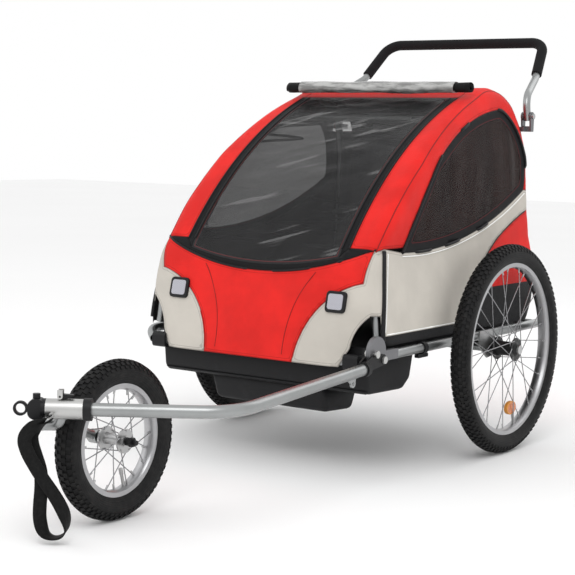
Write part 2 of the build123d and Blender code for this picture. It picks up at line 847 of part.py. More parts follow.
with BuildPart() as arm_bracket:
    for start in (hinge_x - fork_outer, hinge_x + fork_inner):
        with BuildSketch(side_plane(start)):
            Polygon(
                (-588, 280), (-568, fork_top), (pivot_y - 4, fork_top), (pivot_y, pivot_z + 11), (pivot_y, pivot_z - 12),
                (-560, 262), (-588, 254), align=None
            )
            with Locations((pivot_y, pivot_z)):
                Circle(12)
                Circle(bolt_radius + running_gap, mode=Mode.SUBTRACT)
        extrude(amount=fork_thickness)
    collar_plane = Plane(origin=at(*(Vector(*arm_start) + arm_heading * 3)), z_dir=arm_heading)
    with BuildSketch(collar_plane):
        Circle(arm_tube_diameter / 2 + 3.5)
    extrude(amount=14)
    rod(at(*arm_start), at(*arm_bend), arm_tube_diameter / 2, Mode.SUBTRACT)
export(arm_bracket.part, "arm_bracket")

lug_place = Vector(*arm_start) + arm_heading * 62
lug_z = lug_place.Z - arm_tube_diameter / 2 - 9.5
with BuildPart() as arm_tube:
    with BuildSketch(side_plane(lug_place.X - plate_thickness / 2)):
        with Locations((lug_place.Y, lug_z)):
            Circle(lug_hole_diameter / 2 + 4.5)
        Polygon(
            (lug_place.Y - 8, lug_z), (lug_place.Y - 26, lug_z + 14), (lug_place.Y + 10, lug_z + 14),
            (lug_place.Y + 8, lug_z), align=None
        )
        with Locations((lug_place.Y, lug_z)):
            Circle(lug_hole_diameter / 2, mode=Mode.SUBTRACT)
    extrude(amount=plate_thickness)
    tube(arm_points, [arm_bend_radius], arm_tube_diameter)
    tube(arm_points, [arm_bend_radius], arm_tube_diameter - 2 * tube_wall, mode=Mode.SUBTRACT)
export(arm_tube.part, "arm_tube")

collar_length = 15.0
with BuildPart() as sleeve_collar:
    with BuildSketch(sleeve_plane(0)):
        Circle(sleeve_diameter / 2 + 2)
        Circle(arm_tube_diameter / 2, mode=Mode.SUBTRACT)
    extrude(amount=collar_length)
    with BuildSketch(sleeve_plane(collar_length)):
        Circle(sleeve_diameter / 2 - sleeve_wall)
        Circle(arm_tube_diameter / 2, mode=Mode.SUBTRACT)
    extrude(amount=24)
export(sleeve_collar.part, "sleeve_collar")

ear_at = 58.0
ear_up = sleeve_diameter / 2 + 5
ear_gap = 6.0
lever_pin = 2.0
with BuildPart() as arm_sleeve:
    with BuildSketch(sleeve_plane(collar_length)):
        Circle(sleeve_diameter / 2)
    extrude(amount=sleeve_length - collar_length)
    for across in (-ear_gap - 3, ear_gap):
        ear_plane = Plane(
            origin=along_sleeve(ear_at, across, ear_up), x_dir=(heading_x, heading_y, 0), z_dir=(side_x, side_y, 0)
        )
        with BuildSketch(ear_plane):
            Circle(5)
            with Locations((0, -6)):
                Rectangle(10, 12)
        extrude(amount=3)
        with BuildSketch(ear_plane):
            Circle(lever_pin + running_gap)
        extrude(amount=3, mode=Mode.SUBTRACT)
    rod(along_sleeve(70, 12, -6), along_sleeve(70, 30, -6), 4)
    with BuildSketch(sleeve_plane(collar_length)):
        Circle(sleeve_diameter / 2 - sleeve_wall)
    extrude(amount=sleeve_length - collar_length, mode=Mode.SUBTRACT)
export(arm_sleeve.part, "arm_sleeve")

lever_plane = Plane(
    origin=along_sleeve(ear_at, 0.3 - ear_gap, ear_up), x_dir=(heading_x, heading_y, 0), z_dir=(side_x, side_y, 0)
)
with BuildPart() as latch_lever:
    with BuildSketch(lever_plane):
        Circle(4.4)
        Polygon((0, 4), (-10, 4.5), (-24, 0.5), (-24, -3), (-3, -4.2), align=None)
    extrude(amount=2 * (ear_gap - 0.3))
    rod(along_sleeve(ear_at, -ear_gap - 3, ear_up), along_sleeve(ear_at, ear_gap + 3, ear_up), lever_pin)
export(latch_lever.part, "latch_lever")

# Hitch: the block turns about the sleeve's axis with the leaning bicycle.
shank_radius = 6.0
hitch_pin_at = sleeve_length + 18
hitch_pin_radius = 3.0
block_start = sleeve_length + 0.3
with BuildPart() as hitch_block:
    with BuildSketch(sleeve_plane(sleeve_length - 24)):
        Circle(sleeve_diameter / 2 - sleeve_wall - running_gap)
    extrude(amount=24.3)
    with BuildSketch(sleeve_plane(block_start)):
        Circle(sleeve_diameter / 2)
    extrude(amount=8)
    puck_length = hitch_length - 0.4
    puck = Plane(
        origin=along_sleeve(sleeve_length + hitch_length - puck_length / 2, -14),
        x_dir=(heading_x, heading_y, 0),
        z_dir=(side_x, side_y, 0),
    )
    with BuildSketch(puck):
        RectangleRounded(puck_length, sleeve_diameter, 14)
    extrude(amount=28)
    rod(along_sleeve(sleeve_length - 4), along_sleeve(sleeve_length + 40), shank_radius, Mode.SUBTRACT)
    rod(
        along_sleeve(hitch_pin_at, 0, -12),
        along_sleeve(hitch_pin_at, 0, 40),
        hitch_pin_radius + running_gap,
        Mode.SUBTRACT,
    )
export(hitch_block.part, "hitch_block")

with BuildPart() as hitch_eye:
    rod(along_sleeve(sleeve_length - 4), along_sleeve(eye_at - eye_radius - 1), shank_radius)
    eye_plane = Plane(
        origin=along_sleeve(eye_at, -eye_width / 2), x_dir=(heading_x, heading_y, 0), z_dir=(side_x, side_y, 0)
    )
    with BuildSketch(eye_plane):
        Circle(eye_radius + eye_rim)
    extrude(amount=eye_width)
    with BuildSketch(eye_plane):
        Circle(eye_radius)
    extrude(amount=eye_width, mode=Mode.SUBTRACT)
    rod(
        along_sleeve(hitch_pin_at, 0, -12),
        along_sleeve(hitch_pin_at, 0, 12),
        hitch_pin_radius + running_gap,
        Mode.SUBTRACT,
    )
export(hitch_eye.part, "hitch_eye")

with BuildPart() as hitch_pin:
    rod(along_sleeve(hitch_pin_at, 0, -11), along_sleeve(hitch_pin_at, 0, 22), hitch_pin_radius)
    rod(along_sleeve(hitch_pin_at, 0, 19.3), along_sleeve(hitch_pin_at, 0, 28), 7)
export(hitch_pin.part, "hitch_pin")

# Front wheel leg --------------------------------------------------------------------

leg_diameter = 20.0
leg_x = 40.0
leg_boss_half = 10.5
with BuildPart() as wheel_leg:
    tube(
        [
            at(122, -1261, 240),
            at(112, -1262, 218),
            at(60, -1267, 208),
            at(leg_x, -1240, 203),
            at(leg_x, -1170, 192),
            at(leg_x, -front_wheel_ahead, front_radius),
        ],
        [14, 24, 38, 80],
        leg_diameter,
    )
    rod(
        at(leg_x - leg_boss_half, -front_wheel_ahead, front_radius),
        at(leg_x + leg_boss_half, -front_wheel_ahead, front_radius),
        14,
    )
    rod(along_sleeve(-20), along_sleeve(sleeve_length + 20), sleeve_diameter / 2, Mode.SUBTRACT)
    rod(
        at(leg_x - 40, -front_wheel_ahead, front_radius),
        at(leg_x + 40, -front_wheel_ahead, front_radius),
        front_axle_diameter / 2,
        Mode.SUBTRACT,
    )
export(wheel_leg.part, "wheel_leg")

hub_inner = front_wheel_x - front_hub_half
hub_outer = front_wheel_x + front_hub_half
with BuildPart() as front_axle:
    rod(at(20, front_y, front_radius), at(146, front_y, front_radius), front_axle_diameter / 2)
    rod(
        at(leg_x + leg_boss_half, front_y, front_radius), at(hub_inner - hinge_gap, front_y, front_radius), 8
    )
    rod(at(hub_outer + hinge_gap, front_y, front_radius), at(130, front_y, front_radius), 8)
    for start in (22, 130):
        with BuildSketch(side_plane(start)):
            with Locations((front_y, front_radius)):
                RegularPolygon(10, 6)
        extrude(amount=leg_x - leg_boss_half - 22)
export(front_axle.part, "front_axle")

# Push handle ------------------------------------------------------------------------

fork_gap = handle_tube_diameter / 2 + hinge_gap
with BuildPart() as handle_brackets:
    for side in (1, -1):
        middle = side * handle_half_width
        for start in (middle - fork_gap - plate_thickness, middle + fork_gap):
            with BuildSketch(side_plane(start)):
                with Locations((handle_pivot_y, handle_pivot_z)):
                    Circle(11)
                    Circle(pin_diameter / 2, mode=Mode.SUBTRACT)
                Polygon(
                    (handle_pivot_y - 10, handle_pivot_z), (handle_pivot_y - 6, handle_pivot_z - 36),
                    (handle_pivot_y + 9, handle_pivot_z - 36), (handle_pivot_y + 10, handle_pivot_z - 6), align=None
                )
                with Locations((handle_pivot_y, handle_pivot_z)):
                    Circle(pin_diameter / 2, mode=Mode.SUBTRACT)
            extrude(amount=plate_thickness)
        with BuildSketch(side_plane(middle - fork_gap - plate_thickness)):
            with Locations((handle_pivot_y + 1, handle_pivot_z - 32)):
                Rectangle(15, 14)
        extrude(amount=2 * (fork_gap + plate_thickness))
        inboard = side * (bow_x - 2)
        with BuildSketch(side_plane(middle)):
            with Locations((handle_pivot_y - 8, handle_pivot_z - 33)):
                Rectangle(26, 12)
        extrude(amount=inboard - middle)
        tube(bow_route(side), bow_radii, bow_tube_diameter, mode=Mode.SUBTRACT)
export(handle_brackets.part, "handle_brackets")

with BuildPart() as handle_pins:
    for side in (1, -1):
        middle = side * handle_half_width
        reach = fork_gap + plate_thickness
        rod(
            at(middle - reach - 1, handle_pivot_y, handle_pivot_z),
            at(middle + reach + 1, handle_pivot_y, handle_pivot_z),
            pin_diameter / 2,
        )
        rod(
            at(middle + side * reach, handle_pivot_y, handle_pivot_z),
            at(middle + side * (reach + 5), handle_pivot_y, handle_pivot_z),
            pin_diameter / 2 + 3,
        )
export(handle_pins.part, "handle_pins")

handle_points = [
    at(handle_half_width, handle_pivot_y + 1, handle_pivot_z - 10),
    at(handle_half_width, handle_pivot_y - 13, 858),
    at(262, 352, 912),
    at(grip_half_width, grip_back, grip_height),
]
handle_line = handle_points + [(-x, y, z) for x, y, z in reversed(handle_points)]
handle_radii = [42, 60, 44]
with BuildPart() as handle_tube:
    tube(handle_line, handle_radii + handle_radii[::-1], handle_tube_diameter, tube_wall)
    for side in (1, -1):
        middle = side * handle_half_width
        rod(
            at(middle - handle_tube_diameter / 2, handle_pivot_y, handle_pivot_z),
            at(middle + handle_tube_diameter / 2, handle_pivot_y, handle_pivot_z),
            8,
        )
    for side in (1, -1):
        middle = side * handle_half_width
        rod(
            at(middle - 20, handle_pivot_y, handle_pivot_z),
            at(middle + 20, handle_pivot_y, handle_pivot_z),
            pin_diameter / 2 + running_gap,
            Mode.SUBTRACT,
        )
export(handle_tube.part, "handle_tube")

grip_low = 0.9  # how far down its sloping run the foam grip reaches
low = Vector(*handle_points[2])
high = Vector(*handle_points[3])
grip_end = high + (low - high) * grip_low
grip_points = [tuple(grip_end), handle_points[3]]
grip_line = grip_points + [(-x, y, z) for x, y, z in reversed(grip_points)]
with BuildPart() as handle_grip:
    tube(grip_line, [44, 44], grip_diameter, (grip_diameter - handle_tube_diameter) / 2)
export(handle_grip.part, "handle_grip")

# Safety strap -----------------------------------------------------------------------

strap_points = [
    at(126, -1294, 241),
    at(114, -1308, 229),
    at(97, -1322, 214),
    at(87, -1327, 196),
    at(93, -1323, 172),
    at(103, -1316, 150),
    at(115, -1306, 124),
    at(129, -1294, 98),
    at(141, -1283, 70),
    at(148, -1276, 44),
    at(147, -1275, 24),
    at(137, -1282, 12.5),
    at(123, -1292, 11.5),
    at(111, -1300, 22),
    at(105, -1303, 46),
    at(104, -1301, 74),
    at(105, -1298, 104),
    at(104, -1298, 134),
    at(96, -1302, 160),
    at(89, -1307, 186),
    at(89, -1308, 206),
    at(103, -1303, 220),
    at(125, -1294, 231),
]


def bend_radii(points):
    """For each corner, the largest arc that both of its runs allow."""
    radii = []
    for before, here, after in zip(points, points[1:], points[2:]):
        first = Vector(*here) - Vector(*before)
        second = Vector(*after) - Vector(*here)
        half_turn = radians(first.get_angle(second)) / 2
        radii.append(0.45 * min(first.length, second.length) / tan(half_turn))
    return radii


strap_radii = bend_radii(strap_points)
print("strap radii", [round(radius) for radius in strap_radii])
with BuildPart() as safety_strap:
    strap_length = tube(strap_points, strap_radii, strap_tube_diameter)
strap_volume = pi * (strap_tube_diameter / 2) ** 2 * strap_length
print("strap length", round(strap_length), "volume share", round(safety_strap.part.volume / strap_volume, 4))
export(safety_strap.part, "safety_strap")
print("rear axle at y", round(axle_y, 3))
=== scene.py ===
from math import atan2, ceil, cos, exp, pi, radians, sin, sqrt

import bmesh
import bpy
from mathutils import Matrix, Vector, noise
from mathutils.bvhtree import BVHTree
from mathutils.kdtree import KDTree


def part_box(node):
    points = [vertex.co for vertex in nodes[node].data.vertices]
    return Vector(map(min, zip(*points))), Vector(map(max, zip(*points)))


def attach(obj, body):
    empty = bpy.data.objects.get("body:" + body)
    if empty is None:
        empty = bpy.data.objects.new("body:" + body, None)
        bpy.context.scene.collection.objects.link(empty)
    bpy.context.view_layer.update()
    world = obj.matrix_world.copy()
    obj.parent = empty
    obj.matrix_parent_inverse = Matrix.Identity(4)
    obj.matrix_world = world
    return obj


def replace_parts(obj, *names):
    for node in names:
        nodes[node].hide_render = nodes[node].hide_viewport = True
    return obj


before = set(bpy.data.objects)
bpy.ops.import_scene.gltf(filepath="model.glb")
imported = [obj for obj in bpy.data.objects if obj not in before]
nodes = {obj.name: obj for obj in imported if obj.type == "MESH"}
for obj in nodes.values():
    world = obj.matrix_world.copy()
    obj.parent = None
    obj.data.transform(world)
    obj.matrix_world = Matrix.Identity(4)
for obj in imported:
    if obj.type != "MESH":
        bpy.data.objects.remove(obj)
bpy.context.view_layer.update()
mm = 0.001
wheelLow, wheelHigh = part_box("rear_tyre_left")
axleY = (wheelLow.y + wheelHigh.y) / 2  # the rear axle's line
weld = 1e-5  # vertices nearer than this, in metres, are one


def at(x, y, z):  # a place in millimetres, counted from the rear axle's line
    return Vector((x * mm, axleY + y * mm, z * mm))


# camera, and the studio settings; the light and floor are made at the end
studio = {
    "azimuth": 35.05, "elevation": 5.79, "roll": 1.14, "distance": 3548.5, "lens": 95.28,
    "target": (7.34, -388.48, 399.42), "world": 1.0,
}


def setCamera():
    az, el, roll = (radians(studio[k]) for k in ("azimuth", "elevation", "roll"))
    back = Vector((sin(az) * cos(el), -cos(az) * cos(el), sin(el)))
    right = Vector((cos(az), sin(az), 0))
    up = back.cross(right)
    turnedRight = right * cos(roll) + up * sin(roll)
    turnedUp = up * cos(roll) - right * sin(roll)
    data = bpy.data.cameras.new("camera")
    data.lens = studio["lens"]
    data.sensor_width = 36
    data.clip_end = 60
    camera = bpy.data.objects.new("camera", data)
    bpy.context.scene.collection.objects.link(camera)
    place = Matrix((turnedRight, turnedUp, back)).transposed().to_4x4()
    place.translation = at(*studio["target"]) + back * studio["distance"] * mm
    camera.matrix_world = place
    bpy.context.scene.camera = camera


setCamera()
print("stage: camera")


# materials
class Link:  # one output of a node, which can be used in sums
    def __init__(self, maker, socket):
        self.maker = maker
        self.socket = socket

    def calc(self, operation, *others, first=False):
        values = [self, *others]
        if first:
            values.reverse()
        return self.maker.add("ShaderNodeMath", {"operation": operation}, dict(enumerate(values)))

    def __add__(self, other):
        return self.calc("ADD", other)

    def __rsub__(self, other):
        return self.calc("SUBTRACT", other, first=True)

    def __mul__(self, other):
        return self.calc("MULTIPLY", other)

    def step(self, low, high):  # 0 below low, 1 above high
        return self.maker.add(
            "ShaderNodeMapRange", {"interpolation_type": "SMOOTHSTEP", "clamp": True},
            {0: self, 1: low, 2: high, 3: 0.0, 4: 1.0},
        )


class Finish:  # a material under construction
    def __init__(self, name):
        self.material = bpy.data.materials.new(name)
        self.material.use_nodes = True
        self.tree = self.material.node_tree
        self.tree.nodes.clear()
        self.output = self.tree.nodes.new("ShaderNodeOutputMaterial")
        self.shader = self.tree.nodes.new("ShaderNodeBsdfPrincipled")
        self.tree.links.new(self.shader.outputs[0], self.output.inputs[0])

    def add(self, kind, settings=None, inputs=None, output=0):
        node = self.tree.nodes.new(kind)
        for key, value in (settings or {}).items():
            if key == "stops":
                ramp = node.color_ramp.elements
                while len(ramp) < len(value):
                    ramp.new(0.5)
                for stop, (position, colour) in zip(ramp, value):
                    stop.position = position
                    stop.color = (*colour, 1)
            else:
                setattr(node, key, value)
        for key, value in (inputs or {}).items():
            self.feed(node.inputs[key], value)
        return Link(self, node.outputs[output])

    def feed(self, socket, value):
        if isinstance(value, Link):
            self.tree.links.new(value.socket, socket)
        elif isinstance(value, (tuple, list)) and len(value) == 3 and socket.type == "RGBA":
            socket.default_value = (*value, 1)
        else:
            socket.default_value = value

    def place(self, scale=(1, 1, 1), move=(0, 0, 0)):
        coords = self.add("ShaderNodeTexCoord", output=3)
        return self.add("ShaderNodeMapping", None, {0: coords, 1: move, 3: scale})

    def axes(self, vector=None):
        split = self.add("ShaderNodeSeparateXYZ", None, {0: vector or self.place()})
        node = split.socket.node
        return [Link(self, node.outputs[i]) for i in range(3)]

    def noise(self, scale, detail=3.0, vector=None, roughness=0.55):
        return self.add(
            "ShaderNodeTexNoise", None,
            {"Vector": vector or self.place(), "Scale": scale, "Detail": detail, "Roughness": roughness},
        )

    def mix(self, factor, first, second):
        return self.add("ShaderNodeMix", {"data_type": "RGBA"}, {0: factor, 6: first, 7: second}, 2)

    def bump(self, height, distance, strength=1.0, normal=None):
        inputs = {"Height": height, "Distance": distance, "Strength": strength}
        if normal is not None:
            inputs["Normal"] = normal
        return self.add("ShaderNodeBump", None, inputs)

    def attribute(self, name):
        return self.add("ShaderNodeAttribute", {"attribute_name": name}, None, 2)

    def set(self, **inputs):
        names = {
            "colour": "Base Color", "rough": "Roughness", "metal": "Metallic", "normal": "Normal",
            "alpha": "Alpha", "coat": "Coat Weight", "coatRough": "Coat Roughness", "ior": "IOR",
            "sheen": "Sheen Weight", "sheenRough": "Sheen Roughness", "specular": "Specular IOR Level",
            "transmission": "Transmission Weight",
        }
        for key, value in inputs.items():
            self.feed(self.shader.inputs[names[key]], value)
        return self.material


def weaveHeight(f, pitch):
    x, y, z = f.axes()
    k = 2 * pi / pitch
    across = ((x + y * 0.9) * k).calc("SINE")
    along = ((z + y * 0.35) * k).calc("SINE")
    return across * along


def clothFinish(name, colour, shade=0.82, pitch=1.6 * mm, hem=None, stitch=True, rough=0.62):
    # coated woven cloth: weave, soft mottling, a crease along each seam with painted shade in it, and a row
    # of stitches
    f = Finish(name)
    mottle = f.noise(9.0, 4.0)
    dark = tuple(c * shade for c in colour)
    tone = f.mix(mottle.step(0.35, 0.7), dark, colour)
    edge = f.attribute("edge")
    # painted shade: the colour darkens within 3 mm of each panel's edge, in the seam's crease
    seamShade = 1 - edge.step(0.5 * mm, 3.0 * mm)
    tone = f.mix(seamShade * 0.65, tone, tuple(c * 0.25 for c in colour))
    if stitch:
        row = edge.step(5.2 * mm, 6.0 * mm) * (1 - edge.step(6.8 * mm, 7.6 * mm))
        tone = f.mix(row * 0.45, tone, tuple(c * 0.35 for c in colour))
    if hem:
        low = 1 - f.axes()[2].step(hem - 0.8 * mm, hem + 0.8 * mm)
        tone = f.mix(low, tone, (0.012, 0.012, 0.013))
    weave = weaveHeight(f, pitch)
    puckers = f.noise(38.0, 2.0)
    soft = f.bump(puckers, 1.2 * mm, 0.5)
    normal = f.bump(weave + edge.step(0, 4 * mm) * 3, 0.18 * mm, 0.55, soft)
    return f.set(colour=tone, rough=mottle * 0.12 + (rough - 0.06), normal=normal, sheen=0.03, sheenRough=0.5,
                 specular=0.14)


def filmFinish(name, colour, alpha, border, borderColour, stripes=0.0, shine=0.35, folds=False):
    # tinted window film or net with a bound edge
    f = Finish(name)
    edge = f.attribute("edge")
    bound = 1 - edge.step(border - 0.7 * mm, border + 0.7 * mm)
    streak = f.noise(5.5, 3.0, f.place((1.0, 2.4, 0.8)))
    tone = f.mix(streak.step(0.35, 0.72), tuple(c * 0.7 for c in colour), colour)
    if stripes:
        wave = (f.axes()[1] * (2 * pi / stripes)).calc("SINE")
        tone = f.mix(wave.step(0.2, 0.9) * 0.5, tone, tuple(c * 0.45 for c in colour))
    inner = edge.step(border - 4 * mm, border - 3.4 * mm)
    outer = edge.step(border - 2.8 * mm, border - 2.2 * mm)
    stitch = inner * (1 - outer)
    boundTone = f.mix(stitch * 0.8, borderColour, (0.16, 0.012, 0.014))
    tone = f.mix(bound, tone, boundTone)
    ripples = f.bump(f.noise(16.0, 2.0, f.place((1.0, 1.0, 2.0))), 2.0 * mm, 0.35)
    weave = f.bump(weaveHeight(f, 1.1 * mm), 0.1 * mm, 0.12, ripples)
    opacity = bound * (1 - alpha) + alpha
    if folds:  # slack net catches the light along slanting folds: a painted highlight on their ridges, with a bump
        coords = f.add("ShaderNodeTexCoord", output=3)
        slant = f.add("ShaderNodeMapping", {"vector_type": "TEXTURE"},
                      {0: coords, 2: (0, radians(-17), 0), 3: (0.34, 0.16, 0.024)})
        drape = f.noise(1.0, 2.0, slant)
        # painted highlight: lighter grey and a little more opacity along the fold ridges
        ridgeHighlight = drape.step(0.60, 0.66) * (1 - drape.step(0.66, 0.74)) * (1 - bound)
        tone = f.mix(ridgeHighlight * 0.5, tone, (0.26, 0.26, 0.26))
        opacity = opacity + ridgeHighlight * 0.15
        weave = f.bump(drape, 6.0 * mm, 0.5, weave)
    return f.set(colour=tone, rough=bound * 0.25 + 0.34, alpha=opacity, normal=weave, specular=shine)


def metalFinish(name, colour, rough, grain=(1, 1, 1), metal=1.0):
    f = Finish(name)
    fine = f.noise(220.0, 3.0, f.place(grain))
    wear = f.noise(14.0, 4.0)
    tone = f.mix(wear.step(0.3, 0.75), tuple(c * 0.86 for c in colour), colour)
    roughness = fine * 0.12 + wear * 0.08 + (rough - 0.1)
    return f.set(colour=tone, rough=roughness, metal=metal, normal=f.bump(fine, 0.05 * mm, 0.25))


def plasticFinish(name, colour, rough, grain=600.0, depth=0.12 * mm, specular=0.25):
    f = Finish(name)
    skin = f.noise(grain, 2.0)
    scuff = f.noise(22.0, 5.0)
    tone = f.mix(scuff.step(0.55, 0.8), colour, tuple(c * 1.5 + 0.006 for c in colour))
    return f.set(colour=tone, rough=scuff * 0.14 + (rough - 0.07), normal=f.bump(skin, depth, 0.5),
                 specular=specular)


def tyreFinish(name, centre, knobReach):
    # rubber with moulded rings on the sidewall and dust on the tread
    f = Finish(name)
    x, y, z = f.axes(f.place(move=(-centre.x, -centre.y, -centre.z)))
    reach = (y * y + z * z).calc("SQRT")
    rings = (reach * (2 * pi / (4.2 * mm))).calc("SINE")
    side = 1 - reach.step(knobReach - 16 * mm, knobReach - 12 * mm)
    grime = f.noise(60.0, 4.0)
    tone = f.mix(grime.step(0.35, 0.8), (0.006, 0.006, 0.0065), (0.018, 0.0175, 0.017))
    fine = f.bump(grime, 0.4 * mm, 0.3)
    normal = f.bump(rings * side, 0.35 * mm, 0.6, fine)
    return f.set(colour=tone, rough=grime * 0.15 + 0.55, normal=normal, specular=0.2)


def webbingFinish(name, colour):
    f = Finish(name)
    u = f.add("ShaderNodeUVMap", {"uv_map": "strip"})
    across, along, spare = f.axes(u)
    ribs = (along * (2 * pi / (1.9 * mm)) + (across * (2 * pi / (6.2 * mm))).calc("SINE")).calc("SINE")
    selvage = (across.calc("ABSOLUTE")).step(10.6 * mm, 11.4 * mm)
    fuzz = f.noise(160.0, 3.0)
    tone = f.mix(fuzz.step(0.3, 0.8), colour, tuple(c * 2.1 for c in colour))
    normal = f.bump(ribs * (1 - selvage * 0.6), 0.3 * mm, 0.7)
    return f.set(colour=tone, rough=fuzz * 0.1 + 0.68, normal=normal, sheen=0.05, specular=0.12)


def lensFinish(name, colour, centre, pitch, coat=1.0):
    # moulded reflector with a grid of prisms, painted darker in the hollows between them as painted shade
    f = Finish(name)
    x, y, z = f.axes(f.place(move=(-centre.x, -centre.y, -centre.z)))
    k = 2 * pi / pitch
    prisms = ((x + y) * k).calc("SINE") * (z * k).calc("SINE")
    # painted shade: the lens colour darkens where the prism height is low
    tone = f.mix(prisms.step(-0.5, 0.7), tuple(c * 0.62 for c in colour), colour)
    return f.set(colour=tone, rough=prisms * 0.06 + 0.22, normal=f.bump(prisms, 0.5 * mm, 0.8), coat=coat,
                 coatRough=0.05)


looks = {
    "red": (0.78, 0.020, 0.016), "light": (0.58, 0.545, 0.49), "black": (0.007, 0.007, 0.008),
    "silver": (0.36, 0.37, 0.37), "bright": (0.56, 0.56, 0.55), "web": (0.006, 0.006, 0.006),
}
redCloth = clothFinish("red_cloth", looks["red"])
lightCloth = clothFinish("light_cloth", looks["light"], shade=0.9)
lightSideCloth = clothFinish("light_side_cloth", looks["light"], shade=0.9, hem=0.322)
blackCloth = clothFinish("black_cloth", looks["black"], shade=0.8)
lining = clothFinish("dark_lining", (0.020, 0.018, 0.018), shade=0.7, stitch=False)
rearCloth = clothFinish("rear_cloth", looks["red"], hem=0.395)
screenNet = filmFinish("screen_net", (0.016, 0.016, 0.017), 0.46, 9 * mm, (0.007, 0.007, 0.008), folds=True)
sideFilm = filmFinish(
    "side_film", (0.030, 0.015, 0.013), 0.52, 24 * mm, (0.008, 0.008, 0.009), stripes=0.21, shine=0.12,
)
silverTube = metalFinish("silver_tube", looks["silver"], 0.34)
brightMetal = metalFinish("bright_metal", looks["bright"], 0.38, grain=(1, 1, 12))
rimMetal = metalFinish("rim_metal", (0.46, 0.46, 0.47), 0.34)
spokeSteel = metalFinish("spoke_steel", (0.34, 0.34, 0.35), 0.28)
zincSteel = metalFinish("zinc_steel", (0.5, 0.5, 0.5), 0.36)
hingeSteel = metalFinish("hinge_steel", (0.20, 0.20, 0.21), 0.42, metal=0.8)
blackPlastic = plasticFinish("black_plastic", (0.008, 0.008, 0.009), 0.45)
hubBlack = plasticFinish("hub_black", (0.012, 0.012, 0.013), 0.3)
tubPlastic = plasticFinish("tub_plastic", (0.008, 0.008, 0.009), 0.55, grain=420.0, depth=0.3 * mm)
gripFoam = plasticFinish("grip_foam", (0.009, 0.009, 0.010), 0.85, grain=900.0, depth=0.5 * mm, specular=0.2)
webbing = webbingFinish("webbing", looks["web"])
print("stage: materials")


# shared shaping tools
def newPiece(name, bm, material, body, smooth=True):
    mesh = bpy.data.meshes.new(name)
    bm.to_mesh(mesh)
    bm.free()
    for face in mesh.polygons:
        face.use_smooth = smooth
    piece = bpy.data.objects.new(name, mesh)
    bpy.context.scene.collection.objects.link(piece)
    for one in material if isinstance(material, (list, tuple)) else [material]:
        mesh.materials.append(one)
    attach(piece, body)
    return piece


def dress(names, material):
    for name in names:
        mesh = nodes[name].data
        mesh.materials.clear()
        mesh.materials.append(material)


def roundEdges(piece, width, segments=2, angle=35):
    bevel = piece.modifiers.new("edges", "BEVEL")
    bevel.width = width
    bevel.segments = segments
    bevel.limit_method = "ANGLE"
    bevel.angle_limit = radians(angle)
    bevel.harden_normals = False


def frameAt(place, normal, up):
    normal = normal.normalized()
    side = up.cross(normal).normalized()
    turned = Matrix((side, normal.cross(side), normal)).transposed().to_4x4()
    turned.translation = place
    return turned


def roundBar(bm, start, end, radius, sides=16, farRadius=None):
    axis = end - start
    turned = axis.to_track_quat("Z", "Y").to_matrix().to_4x4()
    turned.translation = (start + end) / 2
    bmesh.ops.create_cone(
        bm, cap_ends=True, segments=sides, radius1=radius, radius2=radius if farRadius is None else farRadius,
        depth=axis.length, matrix=turned,
    )


def block(bm, matrix, size):
    bmesh.ops.create_cube(bm, size=1.0, matrix=matrix @ Matrix.Diagonal((*size, 1)))


# wheels
wheels = {
    "rear_wheel_left": {
        "tyre": "rear_tyre_left", "rim": "rear_rim_left", "section": 50, "pitch": 16.5, "spokes": 28,
    },
    "rear_wheel_right": {
        "tyre": "rear_tyre_right", "rim": "rear_rim_right", "section": 50, "pitch": 16.5, "spokes": 28,
    },
    "front_wheel": {"tyre": "front_tyre", "rim": "front_rim", "section": 52, "pitch": 15.0, "spokes": 20},
}


def makeTyre(body, spec):
    low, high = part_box(spec["tyre"])
    centre = (low + high) / 2
    reach = (high.z - low.z) / 2
    knob = 2.4 * mm
    half = spec["section"] / 2 * mm - knob
    middle = reach - spec["section"] / 2 * mm
    rimLow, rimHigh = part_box(spec["rim"])
    rimReach = (rimHigh.z - rimLow.z) / 2
    wrap = radians(138)  # how far the casing goes round from the tread to each bead
    turns = 120
    bm = bmesh.new()
    chain = []
    for i in range(-12, 13):  # bead, sidewall, tread, sidewall, bead
        angle = wrap * i / 12
        chain.append(bm.verts.new(centre + Vector((half * sin(angle), 0, middle + half * cos(angle)))))
    bead = 12.5 * mm
    for side, end in ((-1, chain[0]), (1, chain[-1])):
        end.co.x = centre.x + side * bead
        end.co.z = centre.z + rimReach - 3 * mm
    edges = [bm.edges.new(pair) for pair in zip(chain, chain[1:])]
    bmesh.ops.spin(
        bm, geom=chain + edges, cent=centre, axis=(1, 0, 0), dvec=(0, 0, 0), angle=2 * pi, steps=turns,
        use_merge=True, use_duplicate=False,
    )
    bmesh.ops.remove_doubles(bm, verts=bm.verts, dist=weld)
    bmesh.ops.recalc_face_normals(bm, faces=bm.faces)
    rows = int(2 * pi * reach / (spec["pitch"] * mm))
    for row in range(rows):
        for tilt, width, length, phase in (
            (0, 9.0, 8.6, 0.0), (21, 8.0, 9.2, 0.5), (-21, 8.0, 9.2, 0.5),
            (42, 8.0, 7.4, 0.0), (-42, 8.0, 7.4, 0.0),
            (60, 6.0, 6.0, 0.5), (-60, 6.0, 6.0, 0.5),
        ):
            turn = 2 * pi * (row + phase) / rows
            lean = radians(tilt)
            lift = half - 0.6 * mm if abs(tilt) < 50 else half - 1.4 * mm
            out = Vector((sin(lean), sin(turn) * cos(lean), cos(turn) * cos(lean)))
            ring = Vector((0, sin(turn) * middle, cos(turn) * middle))
            along = Vector((0, cos(turn), -sin(turn)))
            across = along.cross(out)
            spot = Matrix((across, along, out)).transposed().to_4x4()
            spot.translation = centre + ring + out * (lift + knob / 2)
            block(bm, spot, (width * mm, length * mm, knob + 1.1 * mm))
    piece = newPiece(body + "_tread_tyre", bm, tyreFinish(body + "_rubber", centre, reach), body)
    for face in piece.data.polygons:
        face.use_smooth = len(face.vertices) == 4 and face.index < 24 * turns
    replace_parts(piece, spec["tyre"])


